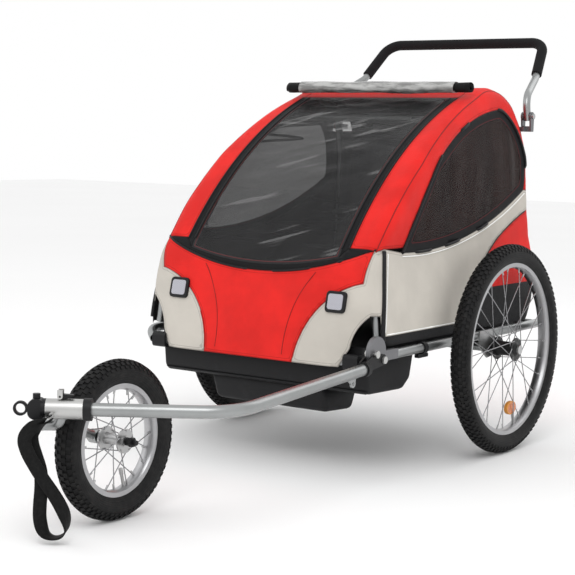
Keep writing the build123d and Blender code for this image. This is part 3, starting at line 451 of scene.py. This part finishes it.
def makeNipples(body, spec):
    # brass ends of the spokes and the valve, seated in the rim's inner wall
    low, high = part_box(spec["rim"])
    centre = (low + high) / 2
    reach = (high.z - low.z) / 2 - 15 * mm
    bm = bmesh.new()
    for index in range(spec["spokes"]):
        turn = 2 * pi * index / spec["spokes"]
        out = Vector((0, sin(turn), cos(turn)))
        side = 3 * mm if index % 2 else -3 * mm
        foot = centre + out * (reach + 1 * mm) + Vector((side, 0, 0))
        tip = centre + out * (reach - 9 * mm) + Vector((side * 1.7, 0, 0))
        roundBar(bm, foot, tip, 2.4 * mm, 8, 1.9 * mm)
    turn = 2 * pi * 0.46
    out = Vector((0, sin(turn), cos(turn)))
    roundBar(bm, centre + out * (reach + 2 * mm), centre + out * (reach - 24 * mm), 3.4 * mm, 12)
    roundBar(bm, centre + out * (reach - 24 * mm), centre + out * (reach - 36 * mm), 4.4 * mm, 12)
    newPiece(body + "_nipples_valve", bm, zincSteel, body, smooth=False)


for body, spec in wheels.items():
    makeTyre(body, spec)
    makeNipples(body, spec)
print("stage: wheels")


# wheel reflectors: an amber oval lens in a shallow tray, clipped on two spokes
def makeWheelReflector(side):
    node = "wheel_reflector_" + side
    low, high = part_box(node)
    centre = (low + high) / 2
    size = high - low
    bm = bmesh.new()
    turned = Matrix.Translation(centre) @ Matrix.Rotation(pi / 2, 4, "Y")
    bmesh.ops.create_cone(bm, cap_ends=True, segments=40, radius1=0.5, radius2=0.5, depth=1, matrix=turned)
    for v in bm.verts:
        off = v.co - centre
        v.co = centre + Vector((off.x * 8 * mm, off.y * (size.y - 1 * mm), off.z * (size.z - 1 * mm)))
    caps = [f for f in bm.faces if len(f.verts) > 4]
    bmesh.ops.inset_region(bm, faces=caps, thickness=3.2 * mm, depth=0)
    for cap in caps:
        side_ = 1 if cap.calc_center_median().x > centre.x else -1
        for v in cap.verts:
            v.co.x += side_ * 1.6 * mm
        cap.material_index = 1
    trim = metalFinish(node + "_tray", (0.75, 0.30, 0.05), 0.4, metal=0.0)
    lens = lensFinish(node + "_lens", (0.85, 0.20, 0.01), centre, 3.2 * mm)
    piece = newPiece(node + "_lens", bm, [trim, lens], "rear_wheel_" + side, smooth=False)
    roundEdges(piece, 0.9 * mm, 2, 40)
    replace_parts(piece, node)


for side in ("left", "right"):
    makeWheelReflector(side)


# the cabin's rounded outer surface
cabin = {
    "creaseRadius": 27, "slice": 13,
    "halfWidths": ((190, 331), (308, 331), (507, 299), (705, 296), (861, 272), (919, 258)),
    "turnedCorners": (((150, -560), (268, -520)), ((268, -520), (331, -488))),
}


cabinMiddle = at(0, -110, 560)


def arc(a, b, c, count=24):  # points on the circle through three points
    ax, ay, bx, by, cx, cy = *a, *b, *c
    d = 2 * (ax * (by - cy) + bx * (cy - ay) + cx * (ay - by))
    aa, bb, cc = ax * ax + ay * ay, bx * bx + by * by, cx * cx + cy * cy
    ox = (aa * (by - cy) + bb * (cy - ay) + cc * (ay - by)) / d
    oy = (aa * (cx - bx) + bb * (ax - cx) + cc * (bx - ax)) / d
    r = sqrt((ax - ox) ** 2 + (ay - oy) ** 2)
    start, mid, end = (atan2(q - oy, p - ox) for p, q in (a, b, c))
    while mid - start > pi:
        mid -= 2 * pi
    while mid - start < -pi:
        mid += 2 * pi
    while end - mid > pi:
        end -= 2 * pi
    while end - mid < -pi:
        end += 2 * pi
    return [(ox + r * cos(start + (end - start) * i / count), oy + r * sin(start + (end - start) * i / count))
            for i in range(count + 1)]


def joinRuns(*runs):
    points = []
    for run in runs:
        for p in run:
            if not points or (Vector(p) - Vector(points[-1])).length > 0.01:
                points.append(p)
    return points


silhouette = joinRuns(
    [(-534, 252), (-492, 440)], arc((-492, 440), (-484, 475), (-466, 507)),
    arc((-466, 507), (-252, 716), (30, 859)),
    arc((30, 859), (115, 878), (192, 850)), arc((192, 850), (238, 801), (258, 727)), [(258, 727), (284, 470)],
    arc((284, 470), (268, 366), (226, 300)),
)
outlineSamples = []
for p, q in zip(silhouette, silhouette[1:]):
    p, q = Vector(p), Vector(q)
    run = q - p
    outward = Vector((-run.y, run.x)).normalized()
    count = max(1, ceil(run.length / 1.5))
    outlineSamples += [(p + run * i / count, outward) for i in range(count)]
outlineTree = KDTree(len(outlineSamples))
for i, (p, n) in enumerate(outlineSamples):
    outlineTree.insert((p.x, p.y, 0), i)
outlineTree.balance()


def cabinGap(point):  # depth under the rounded surface in millimetres, and the way out of it
    x = point.x / mm
    y = (point.y - axleY) / mm
    z = point.z / mm
    side = 1 if x > 0 else -1
    radius = cabin["creaseRadius"]
    rows = cabin["halfWidths"]
    half, slope = rows[-1][1], 0
    for (z0, w0), (z1, w1) in zip(rows, rows[1:]):
        if z <= z1:
            slope = (w1 - w0) / (z1 - z0)
            half = w0 + slope * (z - z0)
            break
    flat = 1 / sqrt(1 + slope * slope)
    gaps = [((half - abs(x)) * flat, Vector((side * flat, 0, -slope * flat)))]
    spot, index, far = outlineTree.find((y, z, 0))
    base, outward = outlineSamples[index]
    gaps.append((outward.dot(base - Vector((y, z))), Vector((0, outward.x, outward.y))))
    for a, b in cabin["turnedCorners"]:
        run = Vector((b[0] - a[0], b[1] - a[1])).normalized()
        normal = Vector((run.y, -run.x))
        gaps.append((normal.dot(Vector(a) - Vector((abs(x), y))), Vector((side * normal.x, normal.y, 0))))
    total = Vector()
    length = 0
    for gap, normal in gaps:
        lean = max(radius - gap, 0)
        total += normal * lean
        length += lean * lean
    length = sqrt(length)
    if length < 1e-6:
        return radius, Vector((0, 0, 1))
    return radius - length, total / length


def onCabin(point):  # move a point to the rounded surface, and give the surface's normal
    for again in range(3):
        gap, way = cabinGap(point)
        if abs(gap) < 0.02:
            break
        point = point + way * (gap * mm / max(way.length_squared, 0.5))
    return point, way.normalized()


def outerSkin(bm):  # drop the inner wall and the cut edges of a cover panel's copy
    bmesh.ops.remove_doubles(bm, verts=bm.verts, dist=weld)
    bm.normal_update()
    seen = set()
    keep = set()
    for first in bm.faces:
        if first in seen:
            continue
        group = [first]
        seen.add(first)
        for face in group:
            for edge in face.edges:
                if len(edge.link_faces) == 2 and edge.calc_face_angle(0) < radians(34):
                    for other in edge.link_faces:
                        if other not in seen:
                            seen.add(other)
                            group.append(other)
        members = set(group)
        area = sum(f.calc_area() for f in group)
        border = sum(e.calc_length() for f in group for e in f.edges if not members.issuperset(e.link_faces))
        outward = sum((f.calc_center_median() - cabinMiddle).dot(f.normal) * f.calc_area() for f in group)
        if outward > 0 and border > 0 and 2 * area / border > 7.5 * mm:
            keep |= members
    bmesh.ops.delete(bm, geom=[f for f in bm.faces if f not in keep], context="FACES")
    bmesh.ops.delete(bm, geom=[v for v in bm.verts if not v.link_faces], context="VERTS")


def sliceEvenly(bm, axes, step):
    for axis in axes:
        low = min(v.co[axis] for v in bm.verts)
        high = max(v.co[axis] for v in bm.verts)
        normal = Vector((axis == 0, axis == 1, axis == 2))
        for k in range(ceil(low / step), int(high / step) + 1):
            bmesh.ops.bisect_plane(
                bm, geom=bm.verts[:] + bm.edges[:] + bm.faces[:], dist=2e-5, plane_co=normal * (k * step),
                plane_no=normal,
            )


def clothPanel(name, cadNodes, material, axes, puff, wrinkle, stretch=(1, 1, 1), sink=0.0, thickness=1.6,
               inside=None):
    # one sewn panel: it swells between its seams, and its folds die out at them
    bm = bmesh.new()
    for node in cadNodes:
        bm.from_mesh(nodes[node].data)
    outerSkin(bm)
    sliceEvenly(bm, axes, cabin["slice"] * mm)
    bmesh.ops.remove_doubles(bm, verts=bm.verts, dist=0.25 * mm)
    border = [v for v in bm.verts if v.is_boundary]
    tree = KDTree(len(border))
    for i, v in enumerate(border):
        tree.insert(v.co, i)
    tree.balance()
    edge = bm.verts.layers.float.new("edge")
    waves = Matrix.Diagonal(stretch)
    for v in bm.verts:
        spot, index, reach = tree.find(v.co)
        reach = min(reach, 0.2)
        v[edge] = 0.0 if v.is_boundary else reach
        calm = 1 - exp(-(reach / (26 * mm)) ** 2)
        lift = (puff * (1 - exp(-(reach / (52 * mm)) ** 2)) - sink * calm) * mm
        big = noise.noise(waves @ v.co * 9 + Vector((3.1, 0, 1.7)))
        small = noise.noise(waves @ v.co * 26 + Vector((0, 5.2, 0)))
        pull = noise.noise(v.co * 70) * exp(-((reach - 14 * mm) / (12 * mm)) ** 2)
        fold = (big * 0.7 + small * 0.3) * wrinkle * calm + pull * min(wrinkle, 1.5) * 0.6 * calm
        point, way = onCabin(v.co)
        v.co = point + way * (lift + fold * mm)
    bmesh.ops.recalc_face_normals(bm, faces=bm.faces)
    if sum((f.calc_center_median() - cabinMiddle).dot(f.normal) * f.calc_area() for f in bm.faces) < 0:
        bmesh.ops.reverse_faces(bm, faces=bm.faces)
    piece = newPiece(name, bm, [material, inside or material], "trailer")
    wall = piece.modifiers.new("cloth", "SOLIDIFY")
    wall.thickness = thickness * mm
    wall.offset = -1
    wall.material_offset = 1
    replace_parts(piece, *cadNodes)
    return piece


panels = [
    clothPanel("front_red_panel", ["front_panel"], redCloth, (0, 2), 4.0, 2.2,
               inside=lining),
    clothPanel("corner_light_panels", ["corner_panels"], lightCloth, (0, 2), 4.0, 2.6,
               inside=lining),
    clothPanel("window_band_cloth", ["window_band"], blackCloth, (0, 2), 1.5, 1.0),
    clothPanel("front_screen", ["window_mesh"], screenNet, (0, 1), 1.0, 5.0,
               (0.9, 2.4, 1.2), 4.0, 0.8),
    clothPanel("zip_tapes", ["zip_strips"], blackCloth, (0, 1), 1.0, 0.6),
    clothPanel("roof_cloth", ["roof_panel"], redCloth, (0, 1), 3.0, 2.0, inside=lining),
    clothPanel("rear_cloth_panel", ["rear_panel"], rearCloth, (0, 2), 5.0, 3.0,
               inside=lining),
    clothPanel("wheel_side_panels", ["wheel_panels"], rearCloth, (1, 2), 3.5, 2.4,
               inside=lining),
    clothPanel("side_films", ["side_windows"], sideFilm, (1, 2), 1.0, 3.0,
               (1, 2.2, 0.7), 3.0, 0.8),
]
for side in ("left", "right"):
    panels.append(clothPanel("light_side_panel_" + side, ["side_panel_" + side], lightSideCloth, (1, 2),
                             3.5, 2.2, inside=lining))
    panels.append(clothPanel("red_frame_band_" + side, ["frame_cover_" + side], redCloth, (0, 1, 2), 4.0, 1.6,
                             inside=lining))
print("stage: cover panels", [len(p.data.polygons) for p in panels])

# a net of all the cover's faces, for laying seams and trims on it
netPoints = []
netFaces = []
for piece in panels:
    start = len(netPoints)
    netPoints += [v.co.copy() for v in piece.data.vertices]
    netFaces += [[start + i for i in f.vertices] for f in piece.data.polygons]
coverNet = BVHTree.FromPolygons(netPoints, netFaces)


outside = {"side": 420, "front": -700, "wall": 240}


def fromSide(y, z, side):
    hit = coverNet.ray_cast(at(side * outside["side"], y, z), Vector((-side, 0, 0)))
    if hit[0] is None or abs(hit[0].x) < outside["wall"] * mm:  # the ray has passed behind the side wall
        return None, None
    return hit[0], hit[1]


def fromFront(x, z):
    hit = coverNet.ray_cast(at(x, outside["front"], z), Vector((0, 1, 0)))
    return hit[0], hit[1]


def bead(name, lines, radius, material, slotName, lift=0.0):
    # a row of piping along lines of places on the cover
    data = bpy.data.curves.new(name, "CURVE")
    data.dimensions = "3D"
    data.bevel_depth = radius * mm
    data.bevel_resolution = 2
    data.use_fill_caps = True
    for line in lines:
        found = [(p, n) for p, n in line if p is not None]
        if len(found) < 2:
            continue
        for again in range(4):  # even out the steps where one panel lies over another
            triples = zip(found, found[1:], found[2:])
            inner = [((a + b * 2 + c) / 4, (m + n * 2 + o).normalized())
                     for (a, m), (b, n), (c, o) in triples]
            found = [found[0], *inner, found[-1]]
        spline = data.splines.new("POLY")
        spline.points.add(len(found) - 1)
        for target, (p, n) in zip(spline.points, found):
            target.co = (*(p + n * lift * mm), 1)
    piece = bpy.data.objects.new(name, data)
    bpy.context.scene.collection.objects.link(piece)
    data.materials.append(material)
    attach(piece, "trailer")
    return piece


def spread(points, step=9.0):  # even places along a run of corner points
    out = [Vector(points[0])]
    for a, b in zip(points, points[1:]):
        a, b = Vector(a), Vector(b)
        count = max(1, ceil((b - a).length / step))
        out += [a.lerp(b, i / count) for i in range(1, count + 1)]
    return out


windowLine = joinRuns(
    arc((-364, 497), (-60, 522), (232, 626)), arc((232, 626), (216, 757), (127, 826)),
    arc((127, 826), (-56, 783), (-205, 699)), [(-205, 699), (-364, 497)],
)
archLine = arc((282, 583), (64, 492), (-149, 318))
bandLine = arc((-290, 507), (0, 446), (290, 507))
piping = plasticFinish("white_piping", (0.86, 0.86, 0.84), 0.35)
blackPiping = plasticFinish("black_piping", (0.007, 0.007, 0.008), 0.5)
seamRed = plasticFinish("seam_red", (0.26, 0.008, 0.007), 0.6)
sides = (1, -1)
bead("window_binding", [[fromSide(y, z, s) for y, z in spread(windowLine)] for s in sides], 3.6, blackPiping,
     "black_cloth", 1.6)
archSeams = [[fromSide(y, z, s) for y, z in spread(archLine)] for s in sides]
bead("arch_seam", archSeams, 1.7, blackPiping, "black_cloth")
bead("band_seam", [[fromFront(x, z) for x, z in spread(bandLine)]], 2.6, blackPiping, "black_cloth", 0.4)
cornerSeams = []
for s in sides:
    seam = arc((s * 124, 262), (s * 196, 396), (s * 281, 436))
    cornerSeams.append([fromFront(x, z) for x, z in spread(seam)])
bead("corner_seams", cornerSeams, 1.4, redCloth, "red_cloth")
sidePiping = []
for s in sides:
    line = [at(s * (299 + 5 + 31 * t), -441 - 44 * t, 505 - 193 * t) for t in [i / 20 for i in range(21)]]
    sidePiping.append([(coverNet.find_nearest(p)[0], coverNet.find_nearest(p)[1]) for p in line])
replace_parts(bead("side_piping", sidePiping, 5.0, blackPiping, "piping", 1.2), "corner_piping")
paleLines = []
for s in sides:
    paleLines.append([fromSide(-426 - 44 * t, 498 - 168 * t, s) for t in [i / 20 for i in range(21)]])
    paleLines.append([fromSide(y, 325, s) for y, z in spread([(-466, 325), (-168, 325)])])
    paleLines.append([fromSide(y, z, s) for y, z in spread(arc((-366, 489), (-60, 513), (236, 617)))])
bead("pale_lines", paleLines, 1.5, piping, "piping", 0.9)
frontSeams = []
for s in sides:
    seam = arc((s * 155, 452), (s * 108, 370), (s * 94, 266))
    frontSeams.append([fromFront(x, z) for x, z in spread(seam)])
bead("front_panel_seams", frontSeams, 1.2, seamRed, "red_cloth", -0.3)
creaseLine = [p for p in silhouette if p[1] > 505 and p[0] < 262]
creases = []
for s in sides:
    line = []
    for y, z in spread(creaseLine):
        point, way = onCabin(at(s * (299 if z < 705 else 296 - (z - 705) * 24 / 156), y, z))
        near = coverNet.find_nearest(point)
        line.append((near[0], near[1]))
    creases.append(line)
bead("crease_seams", creases, 1.4, seamRed, "red_cloth", -0.2)
zipEdges = []
for s in sides:
    for x in (207, 226):
        run = spread([(-466, 507), (-380, 612), (-252, 716), (-120, 800), (0, 850)])
        line = []
        for y, z in run:
            hit = coverNet.ray_cast(at(s * x, y - 60, z + 75), Vector((0, 0.62, -0.78)))
            line.append((hit[0], hit[1]))
        zipEdges.append(line)
bead("zip_edges", zipEdges, 2.2, blackPiping, "black_cloth", 0.3)
print("stage: seams")


# front reflectors: a pale square lens in a rounded black frame
def makeFrontReflectors():
    bmFrame = bmesh.new()
    bmLens = bmesh.new()
    for s in sides:
        place, normal = fromFront(s * 220, 391)
        turned = frameAt(place + normal * 2 * mm, normal, Vector((0, 0, 1)))
        block(bmFrame, turned, (52 * mm, 48 * mm, 9 * mm))
        block(bmLens, turned @ Matrix.Translation((0, 0, 4.2 * mm)), (39 * mm, 35 * mm, 3.4 * mm))
    for bm, width in ((bmFrame, 9 * mm), (bmLens, 6 * mm)):
        bm.normal_update()
        # the four standing edges of each block are rounded in plan, then every edge is softened
        standing = [e for e in bm.edges if abs((e.verts[0].co - e.verts[1].co).normalized().y) > 0.8]
        bmesh.ops.bevel(bm, geom=standing, offset=width, segments=6, profile=0.5, affect="EDGES", material=-1)
    rim = newPiece("front_reflector_frames", bmFrame, blackPlastic, "trailer", smooth=False)
    roundEdges(rim, 1.6 * mm, 3)
    lens = lensFinish("pale_lens", (0.50, 0.50, 0.56), at(220, -517, 391), 4.4 * mm)
    glow = newPiece("front_reflector_lenses", bmLens, lens, "trailer", smooth=False)
    roundEdges(glow, 0.9 * mm, 2)
    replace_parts(rim, "front_reflectors")


makeFrontReflectors()


# rolled rain cover: a loose spiral of clear film, tied at both ends
roll = {"half": 226, "endHalf": 266, "turns": 2.6, "radius": 21}


def makeRoll():
    low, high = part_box("rain_cover_roll")
    centre = Vector((0, (low.y + high.y) / 2, (low.z + high.z) / 2 - 1 * mm))
    film = Finish("rolled_film")
    crumple = film.noise(26.0, 5.0, film.place((0.6, 3.0, 3.0)))
    shine = film.noise(90.0, 3.0, film.place((0.5, 2.0, 2.0)))
    # painted highlight and shade: the film is lighter on the crests of the crumples and darker in their
    # hollows
    tone = film.mix(crumple.step(0.38, 0.62), (0.16, 0.16, 0.155), (0.44, 0.44, 0.43))
    film.set(colour=tone, rough=shine * 0.25 + 0.12, normal=film.bump(crumple, 3.0 * mm, 0.7), coat=0.6,
             coatRough=0.12)
    half, endHalf = roll["half"], roll["endHalf"]
    full, thin = roll["radius"], roll["radius"] - 3
    for name, start, end, radius, material, slotName in (
        ("rolled_cover_film", -half, half, full, film.material, "clear_roll"),
        ("rolled_cover_hem_left", half - 4, endHalf, thin, blackCloth, "black_cloth"),
        ("rolled_cover_hem_right", -endHalf, -half + 4, thin, blackCloth, "black_cloth"),
    ):
        bm = bmesh.new()
        rings = []
        steps = 52
        for i in range(steps + 1):  # a spiral in cross-section
            t = i / steps
            angle = 2 * pi * roll["turns"] * t
            r = (radius * (0.35 + 0.65 * t)) * mm
            rings.append(bm.verts.new(centre + Vector((start * mm, r * cos(angle), r * 0.82 * sin(angle)))))
        edges = [bm.edges.new(pair) for pair in zip(rings, rings[1:])]
        count = max(4, int(abs(end - start) / 9))
        stage = edges
        for k in range(count):
            grown = bmesh.ops.extrude_edge_only(bm, edges=stage)["geom"]
            fresh = [g for g in grown if isinstance(g, bmesh.types.BMVert)]
            stage = [g for g in grown if isinstance(g, bmesh.types.BMEdge)]
            bmesh.ops.translate(bm, verts=fresh, vec=((end - start) * mm / count, 0, 0))
        for v in bm.verts:
            off = v.co - centre
            wave = noise.noise(Vector((v.co.x * 7, off.y * 30, off.z * 30)))
            fine = noise.noise(Vector((v.co.x * 40, off.y * 60, off.z * 60)))
            v.co.y += off.y * wave * 0.16 + fine * 0.8 * mm
            v.co.z += off.z * wave * 0.14 + fine * 0.8 * mm - 1.5 * mm * sin(v.co.x * 19) ** 2
        bmesh.ops.recalc_face_normals(bm, faces=bm.faces)
        piece = newPiece(name, bm, material, "trailer")
        wall = piece.modifiers.new("film", "SOLIDIFY")
        wall.thickness = 0.9 * mm
        if start == -half:
            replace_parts(piece, "rain_cover_roll")


makeRoll()
print("stage: trims")


# floor tub: a deep rounded tray with a foot well
def makeTub():
    bm = bmesh.new()

    def tray(profile, half, radius):
        ends = []
        for x in (-half, half):
            ends.append([bm.verts.new(at(x, y, z)) for y, z in profile])
        caps = [bm.faces.new(ring) for ring in ends]
        count = len(profile)
        walls = [bm.faces.new((ends[0][i], ends[0][(i + 1) % count], ends[1][(i + 1) % count], ends[1][i]))
                 for i in range(count)]
        bmesh.ops.recalc_face_normals(bm, faces=caps + walls)
        rimHeight = at(0, 0, profile[0][1] - 2).z
        lid = [f for f in walls if f.normal.z > 0.9 and f.calc_center_median().z > rimHeight]
        bmesh.ops.delete(bm, geom=lid, context="FACES_ONLY")
        shell = [f for f in caps + walls if f.is_valid]
        sharp = [e for e in {e for f in shell for e in f.edges}
                 if len(e.link_faces) == 2 and e.calc_face_angle(0) > radians(20)]
        bmesh.ops.bevel(bm, geom=sharp, offset=radius * mm, segments=5, profile=0.5, affect="EDGES",
                        material=-1)

    tray([(-487, 294), (-477, 197), (-466, 187), (-322, 183), (-291, 205), (-277, 262), (230, 266),
          (236, 294)], 289, 11)
    tray([(-462, 192), (-440, 129), (-330, 123), (-300, 192)], 159, 13)
    piece = newPiece("rounded_floor_tub", bm, tubPlastic, "trailer")
    wall = piece.modifiers.new("wall", "SOLIDIFY")
    wall.thickness = 2.6 * mm
    wall.offset = -1
    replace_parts(piece, "floor_tub")


makeTub()


# seats: cushions swollen by air pressure inside their covers
seatLook = {"voxel": 7, "pressure": 4.0, "cap": 9, "frames": 20}
seatOffset = 122  # from the trailer's middle to each seat's, in millimetres
seatCloth = clothFinish("seat_cloth", (0.035, 0.035, 0.04), shade=0.8, stitch=False)


def makeCushion(node, name, inset):
    low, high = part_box(node)
    bm = bmesh.new()
    bm.from_mesh(nodes[node].data)
    bmesh.ops.remove_doubles(bm, verts=bm.verts, dist=weld)
    for v in bm.verts:
        v.co.x *= 1 - inset * mm / high.x
    piece = newPiece(name, bm, seatCloth, "trailer")
    remesh = piece.modifiers.new("even", "REMESH")
    remesh.mode = "VOXEL"
    remesh.voxel_size = seatLook["voxel"] * mm
    bakeModifiers(piece)
    before = [v.co.copy() for v in piece.data.vertices]
    cloth = piece.modifiers.new("air", "CLOTH")
    cloth.settings.use_pressure = True
    cloth.settings.uniform_pressure_force = seatLook["pressure"]
    cloth.settings.effector_weights.gravity = 0
    cloth.settings.quality = 5
    for tick in range(1, seatLook["frames"] + 1):
        bpy.context.scene.frame_set(tick)
    bakeModifiers(piece)
    bpy.context.scene.frame_set(1)
    cap = seatLook["cap"] * mm
    spacing = seatOffset * mm
    for v, home in zip(piece.data.vertices, before):
        move = v.co - home
        if move.length > cap:
            move = move.normalized() * cap
        seam = exp(-(home.x / (14 * mm)) ** 2)
        channel = sum(exp(-((abs(home.x) - spacing * k) / (9 * mm)) ** 2) for k in (0.45, 1.0, 1.55)) * 0.55
        v.co = home + move * (1 - min(1, seam + channel))
    smooth = piece.modifiers.new("soft", "SUBSURF")
    smooth.levels = smooth.render_levels = 1
    attribute = piece.data.attributes.new("edge", "FLOAT", "POINT")
    for item in attribute.data:
        item.value = 0.05
    for face in piece.data.polygons:
        face.use_smooth = True
    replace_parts(piece, node)


def bakeModifiers(piece):
    graph = bpy.context.evaluated_depsgraph_get()
    mesh = bpy.data.meshes.new_from_object(piece.evaluated_get(graph), depsgraph=graph)
    piece.modifiers.clear()
    old = piece.data
    piece.data = mesh
    bpy.data.meshes.remove(old)


makeCushion("seat_base", "seat_cushion", 8)
makeCushion("seat_back", "seat_backrest", 8)
print("stage: tub and seats")


# webbing: flat strips along a line, with the width turned as given
def makeStrip(name, places, widths, width, thick, body, material):
    bm = bmesh.new()
    uv = bm.loops.layers.uv.new("strip")
    spots = (-1, -0.4, 0.4, 1, 1, 0.4, -0.4, -1)  # across the webbing, under it and back over it
    rings = []
    runs = [0.0]
    for a, b in zip(places, places[1:]):
        runs.append(runs[-1] + (b - a).length)
    count = len(places)
    for i, place in enumerate(places):
        tangent = (places[min(i + 1, count - 1)] - places[max(i - 1, 0)]).normalized()
        across = (widths[i] - tangent * widths[i].dot(tangent)).normalized()
        up = tangent.cross(across)
        rings.append([bm.verts.new(place + across * a * width / 2 + up * b * thick / 2)
                      for a, b in zip(spots, (-1, -1, -1, -1, 1, 1, 1, 1))])
    for i in range(count - 1):
        for j in range(8):
            k = (j + 1) % 8
            face = bm.faces.new((rings[i][j], rings[i][k], rings[i + 1][k], rings[i + 1][j]))
            for loop, (u, v) in zip(face.loops, ((j, i), (k, i), (k, i + 1), (j, i + 1))):
                loop[uv].uv = (spots[u] * width / 2, runs[v])
    for ring in (rings[0], rings[-1]):
        bm.faces.new(ring)
    bmesh.ops.recalc_face_normals(bm, faces=bm.faces)
    return newPiece(name, bm, material, body)


def routeLine(points):  # read a smooth line back from a curve with these control points
    data = bpy.data.curves.new("route", "CURVE")
    data.dimensions = "3D"
    spline = data.splines.new("NURBS")
    spline.points.add(len(points) - 1)
    for target, p in zip(spline.points, points):
        target.co = (*p, 1)
    spline.order_u = 3
    spline.use_endpoint_u = True
    spline.resolution_u = 8
    holder = bpy.data.objects.new("route", data)
    bpy.context.scene.collection.objects.link(holder)
    bpy.context.view_layer.update()
    graph = bpy.context.evaluated_depsgraph_get()
    mesh = bpy.data.meshes.new_from_object(holder.evaluated_get(graph))
    places = [v.co.copy() for v in mesh.vertices]
    bpy.data.objects.remove(holder)
    bpy.data.curves.remove(data)
    return places


strapRoute = [
    at(126, -1294, 241), at(114, -1308, 229), at(97, -1322, 214), at(87, -1327, 196), at(93, -1323, 172),
    at(103, -1316, 150), at(115, -1306, 124), at(129, -1294, 98), at(141, -1283, 70), at(148, -1276, 44),
    at(147, -1275, 24), at(137, -1282, 12.5), at(123, -1292, 11.5), at(111, -1300, 22), at(105, -1303, 46),
    at(104, -1301, 74), at(105, -1298, 104), at(104, -1298, 134), at(96, -1302, 160), at(89, -1307, 186),
    at(89, -1308, 206), at(103, -1303, 220), at(125, -1294, 231),
]


def makeSafetyStrap():
    line = routeLine(strapRoute)
    total = sum((b - a).length for a, b in zip(line, line[1:]))
    heading = radians(35)
    facing = Vector((cos(heading), sin(heading), 0))
    deep = Vector((-sin(heading), cos(heading), 0))
    run = 0
    widths = []
    for i, p in enumerate(line):
        if i:
            run += (p - line[i - 1]).length
        t = run / total
        turn = pi / 2 * exp(-((t - 0.5) / 0.085) ** 2)
        start = pi / 2 * (exp(-(t / 0.05) ** 2) + exp(-((1 - t) / 0.05) ** 2))
        angle = min(pi / 2, turn + start)
        widths.append(facing * cos(angle) + deep * sin(angle) + Vector((0, 0, 0.05)))
    piece = makeStrip("safety_webbing", line, widths, 25 * mm, 2.2 * mm, "tow_arm", webbing)
    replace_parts(piece, "safety_strap")
    print("strap length", round(total, 4))


makeSafetyStrap()


# harness: shoulder and lap webbing with a chest buckle on each seat
def makeHarness():
    straps = []
    for seat in sides:
        for shoulder in sides:
            x = seat * seatOffset + shoulder * 52
            line = [at(x, 158 + 24 * t, 418 + 286 * t) for t in [i / 14 for i in range(15)]]
            straps.append((line, Vector((1, 0, 0)), 36))
        line = [at(seat * seatOffset, -124 + 188 * t, 362 - 20 * t) for t in [i / 12 for i in range(13)]]
        straps.append((line, Vector((1, 0, 0)), 36))
        line = [at(seat * seatOffset + 70 * t, 156, 455 + 6 * abs(t))
                for t in [-1 + i / 7 for i in range(15)]]
        straps.append((line, Vector((0, 0, 1)), 24))
    for i, (line, width, size) in enumerate(straps):
        widths = [width] * len(line)
        name = f"harness_strap_{i}"
        piece = makeStrip(name, line, widths, size * mm, 2 * mm, "trailer", webbing)
        if i == 0:
            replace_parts(piece, "harness")
    bm = bmesh.new()
    for seat in sides:
        place = at(seat * seatOffset, 151, 457)
        block(bm, Matrix.Translation(place), (52 * mm, 10 * mm, 32 * mm))
        block(bm, Matrix.Translation(place + Vector((0, -4 * mm, 0))), (20 * mm, 6 * mm, 20 * mm))
    bmesh.ops.bevel(bm, geom=bm.edges[:], offset=3 * mm, segments=2, profile=0.5, affect="EDGES", material=-1)
    newPiece("harness_buckles", bm, blackPlastic, "trailer")


makeHarness()
print("stage: webbing")

# finishes of the frame's own pieces
for side in ("left", "right"):
    dress(["base_tube_" + side], silverTube)
    dress(["rear_rim_" + side], rimMetal)
    dress(["rear_spokes_" + side], spokeSteel)
    dress(["rear_hub_" + side], hubBlack)
dress(["front_rim"], rimMetal)
dress(["front_spokes"], spokeSteel)
dress(["front_hub"], zincSteel)
dress(["front_axle"], blackPlastic)
dress(["cross_tubes", "side_bows", "roof_cross_tubes", "arm_tube", "handle_tube", "wheel_leg"], silverTube)
dress(["axle_plates", "axle_pins", "handle_pins"], zincSteel)
dress(["hinge_bracket", "handle_brackets"], hingeSteel)
dress(["hinge_bolts"], brightMetal)
dress(["corner_sockets", "tube_collars", "arm_bracket", "sleeve_collar", "latch_lever", "hitch_block",
       "hitch_eye", "hitch_pin"], blackPlastic)
dress(["arm_sleeve"], brightMetal)
dress(["handle_grip"], gripFoam)


# floor and lights
def setStage():
    bm = bmesh.new()
    bmesh.ops.create_grid(bm, x_segments=1, y_segments=1, size=14)
    mesh = bpy.data.meshes.new("floor")
    bm.to_mesh(mesh)
    bm.free()
    floor = bpy.data.objects.new("floor", mesh)
    bpy.context.scene.collection.objects.link(floor)
    f = Finish("floor_paint")
    cloudy = f.noise(0.6, 2.0)
    paint = f.mix(cloudy, (0.90, 0.90, 0.90), (0.94, 0.94, 0.94))
    mesh.materials.append(f.set(colour=paint, rough=0.9, specular=0.1))
    world = bpy.data.worlds.new("studio")
    world.use_nodes = True
    world.node_tree.nodes["Background"].inputs[0].default_value = (1, 1, 1, 1)
    world.node_tree.nodes["Background"].inputs[1].default_value = studio["world"]
    bpy.context.scene.world = world
    bpy.context.scene.view_settings.view_transform = "Standard"
    for name, place, size, power in (
        ("key", (1.6, -2.6, 3.4), 2.2, 42), ("fill", (-2.8, -1.6, 2.2), 2.4, 8),
        ("rear", (0.6, 2.8, 2.6), 2.0, 12),
    ):
        data = bpy.data.lights.new(name, "AREA")
        data.size = size
        data.energy = power
        lamp = bpy.data.objects.new(name, data)
        bpy.context.scene.collection.objects.link(lamp)
        lamp.location = place
        lamp.rotation_euler = (Vector((0, -0.1, 0.4)) - Vector(place)).to_track_quat("-Z", "Y").to_euler()


setStage()
print("stage: studio")
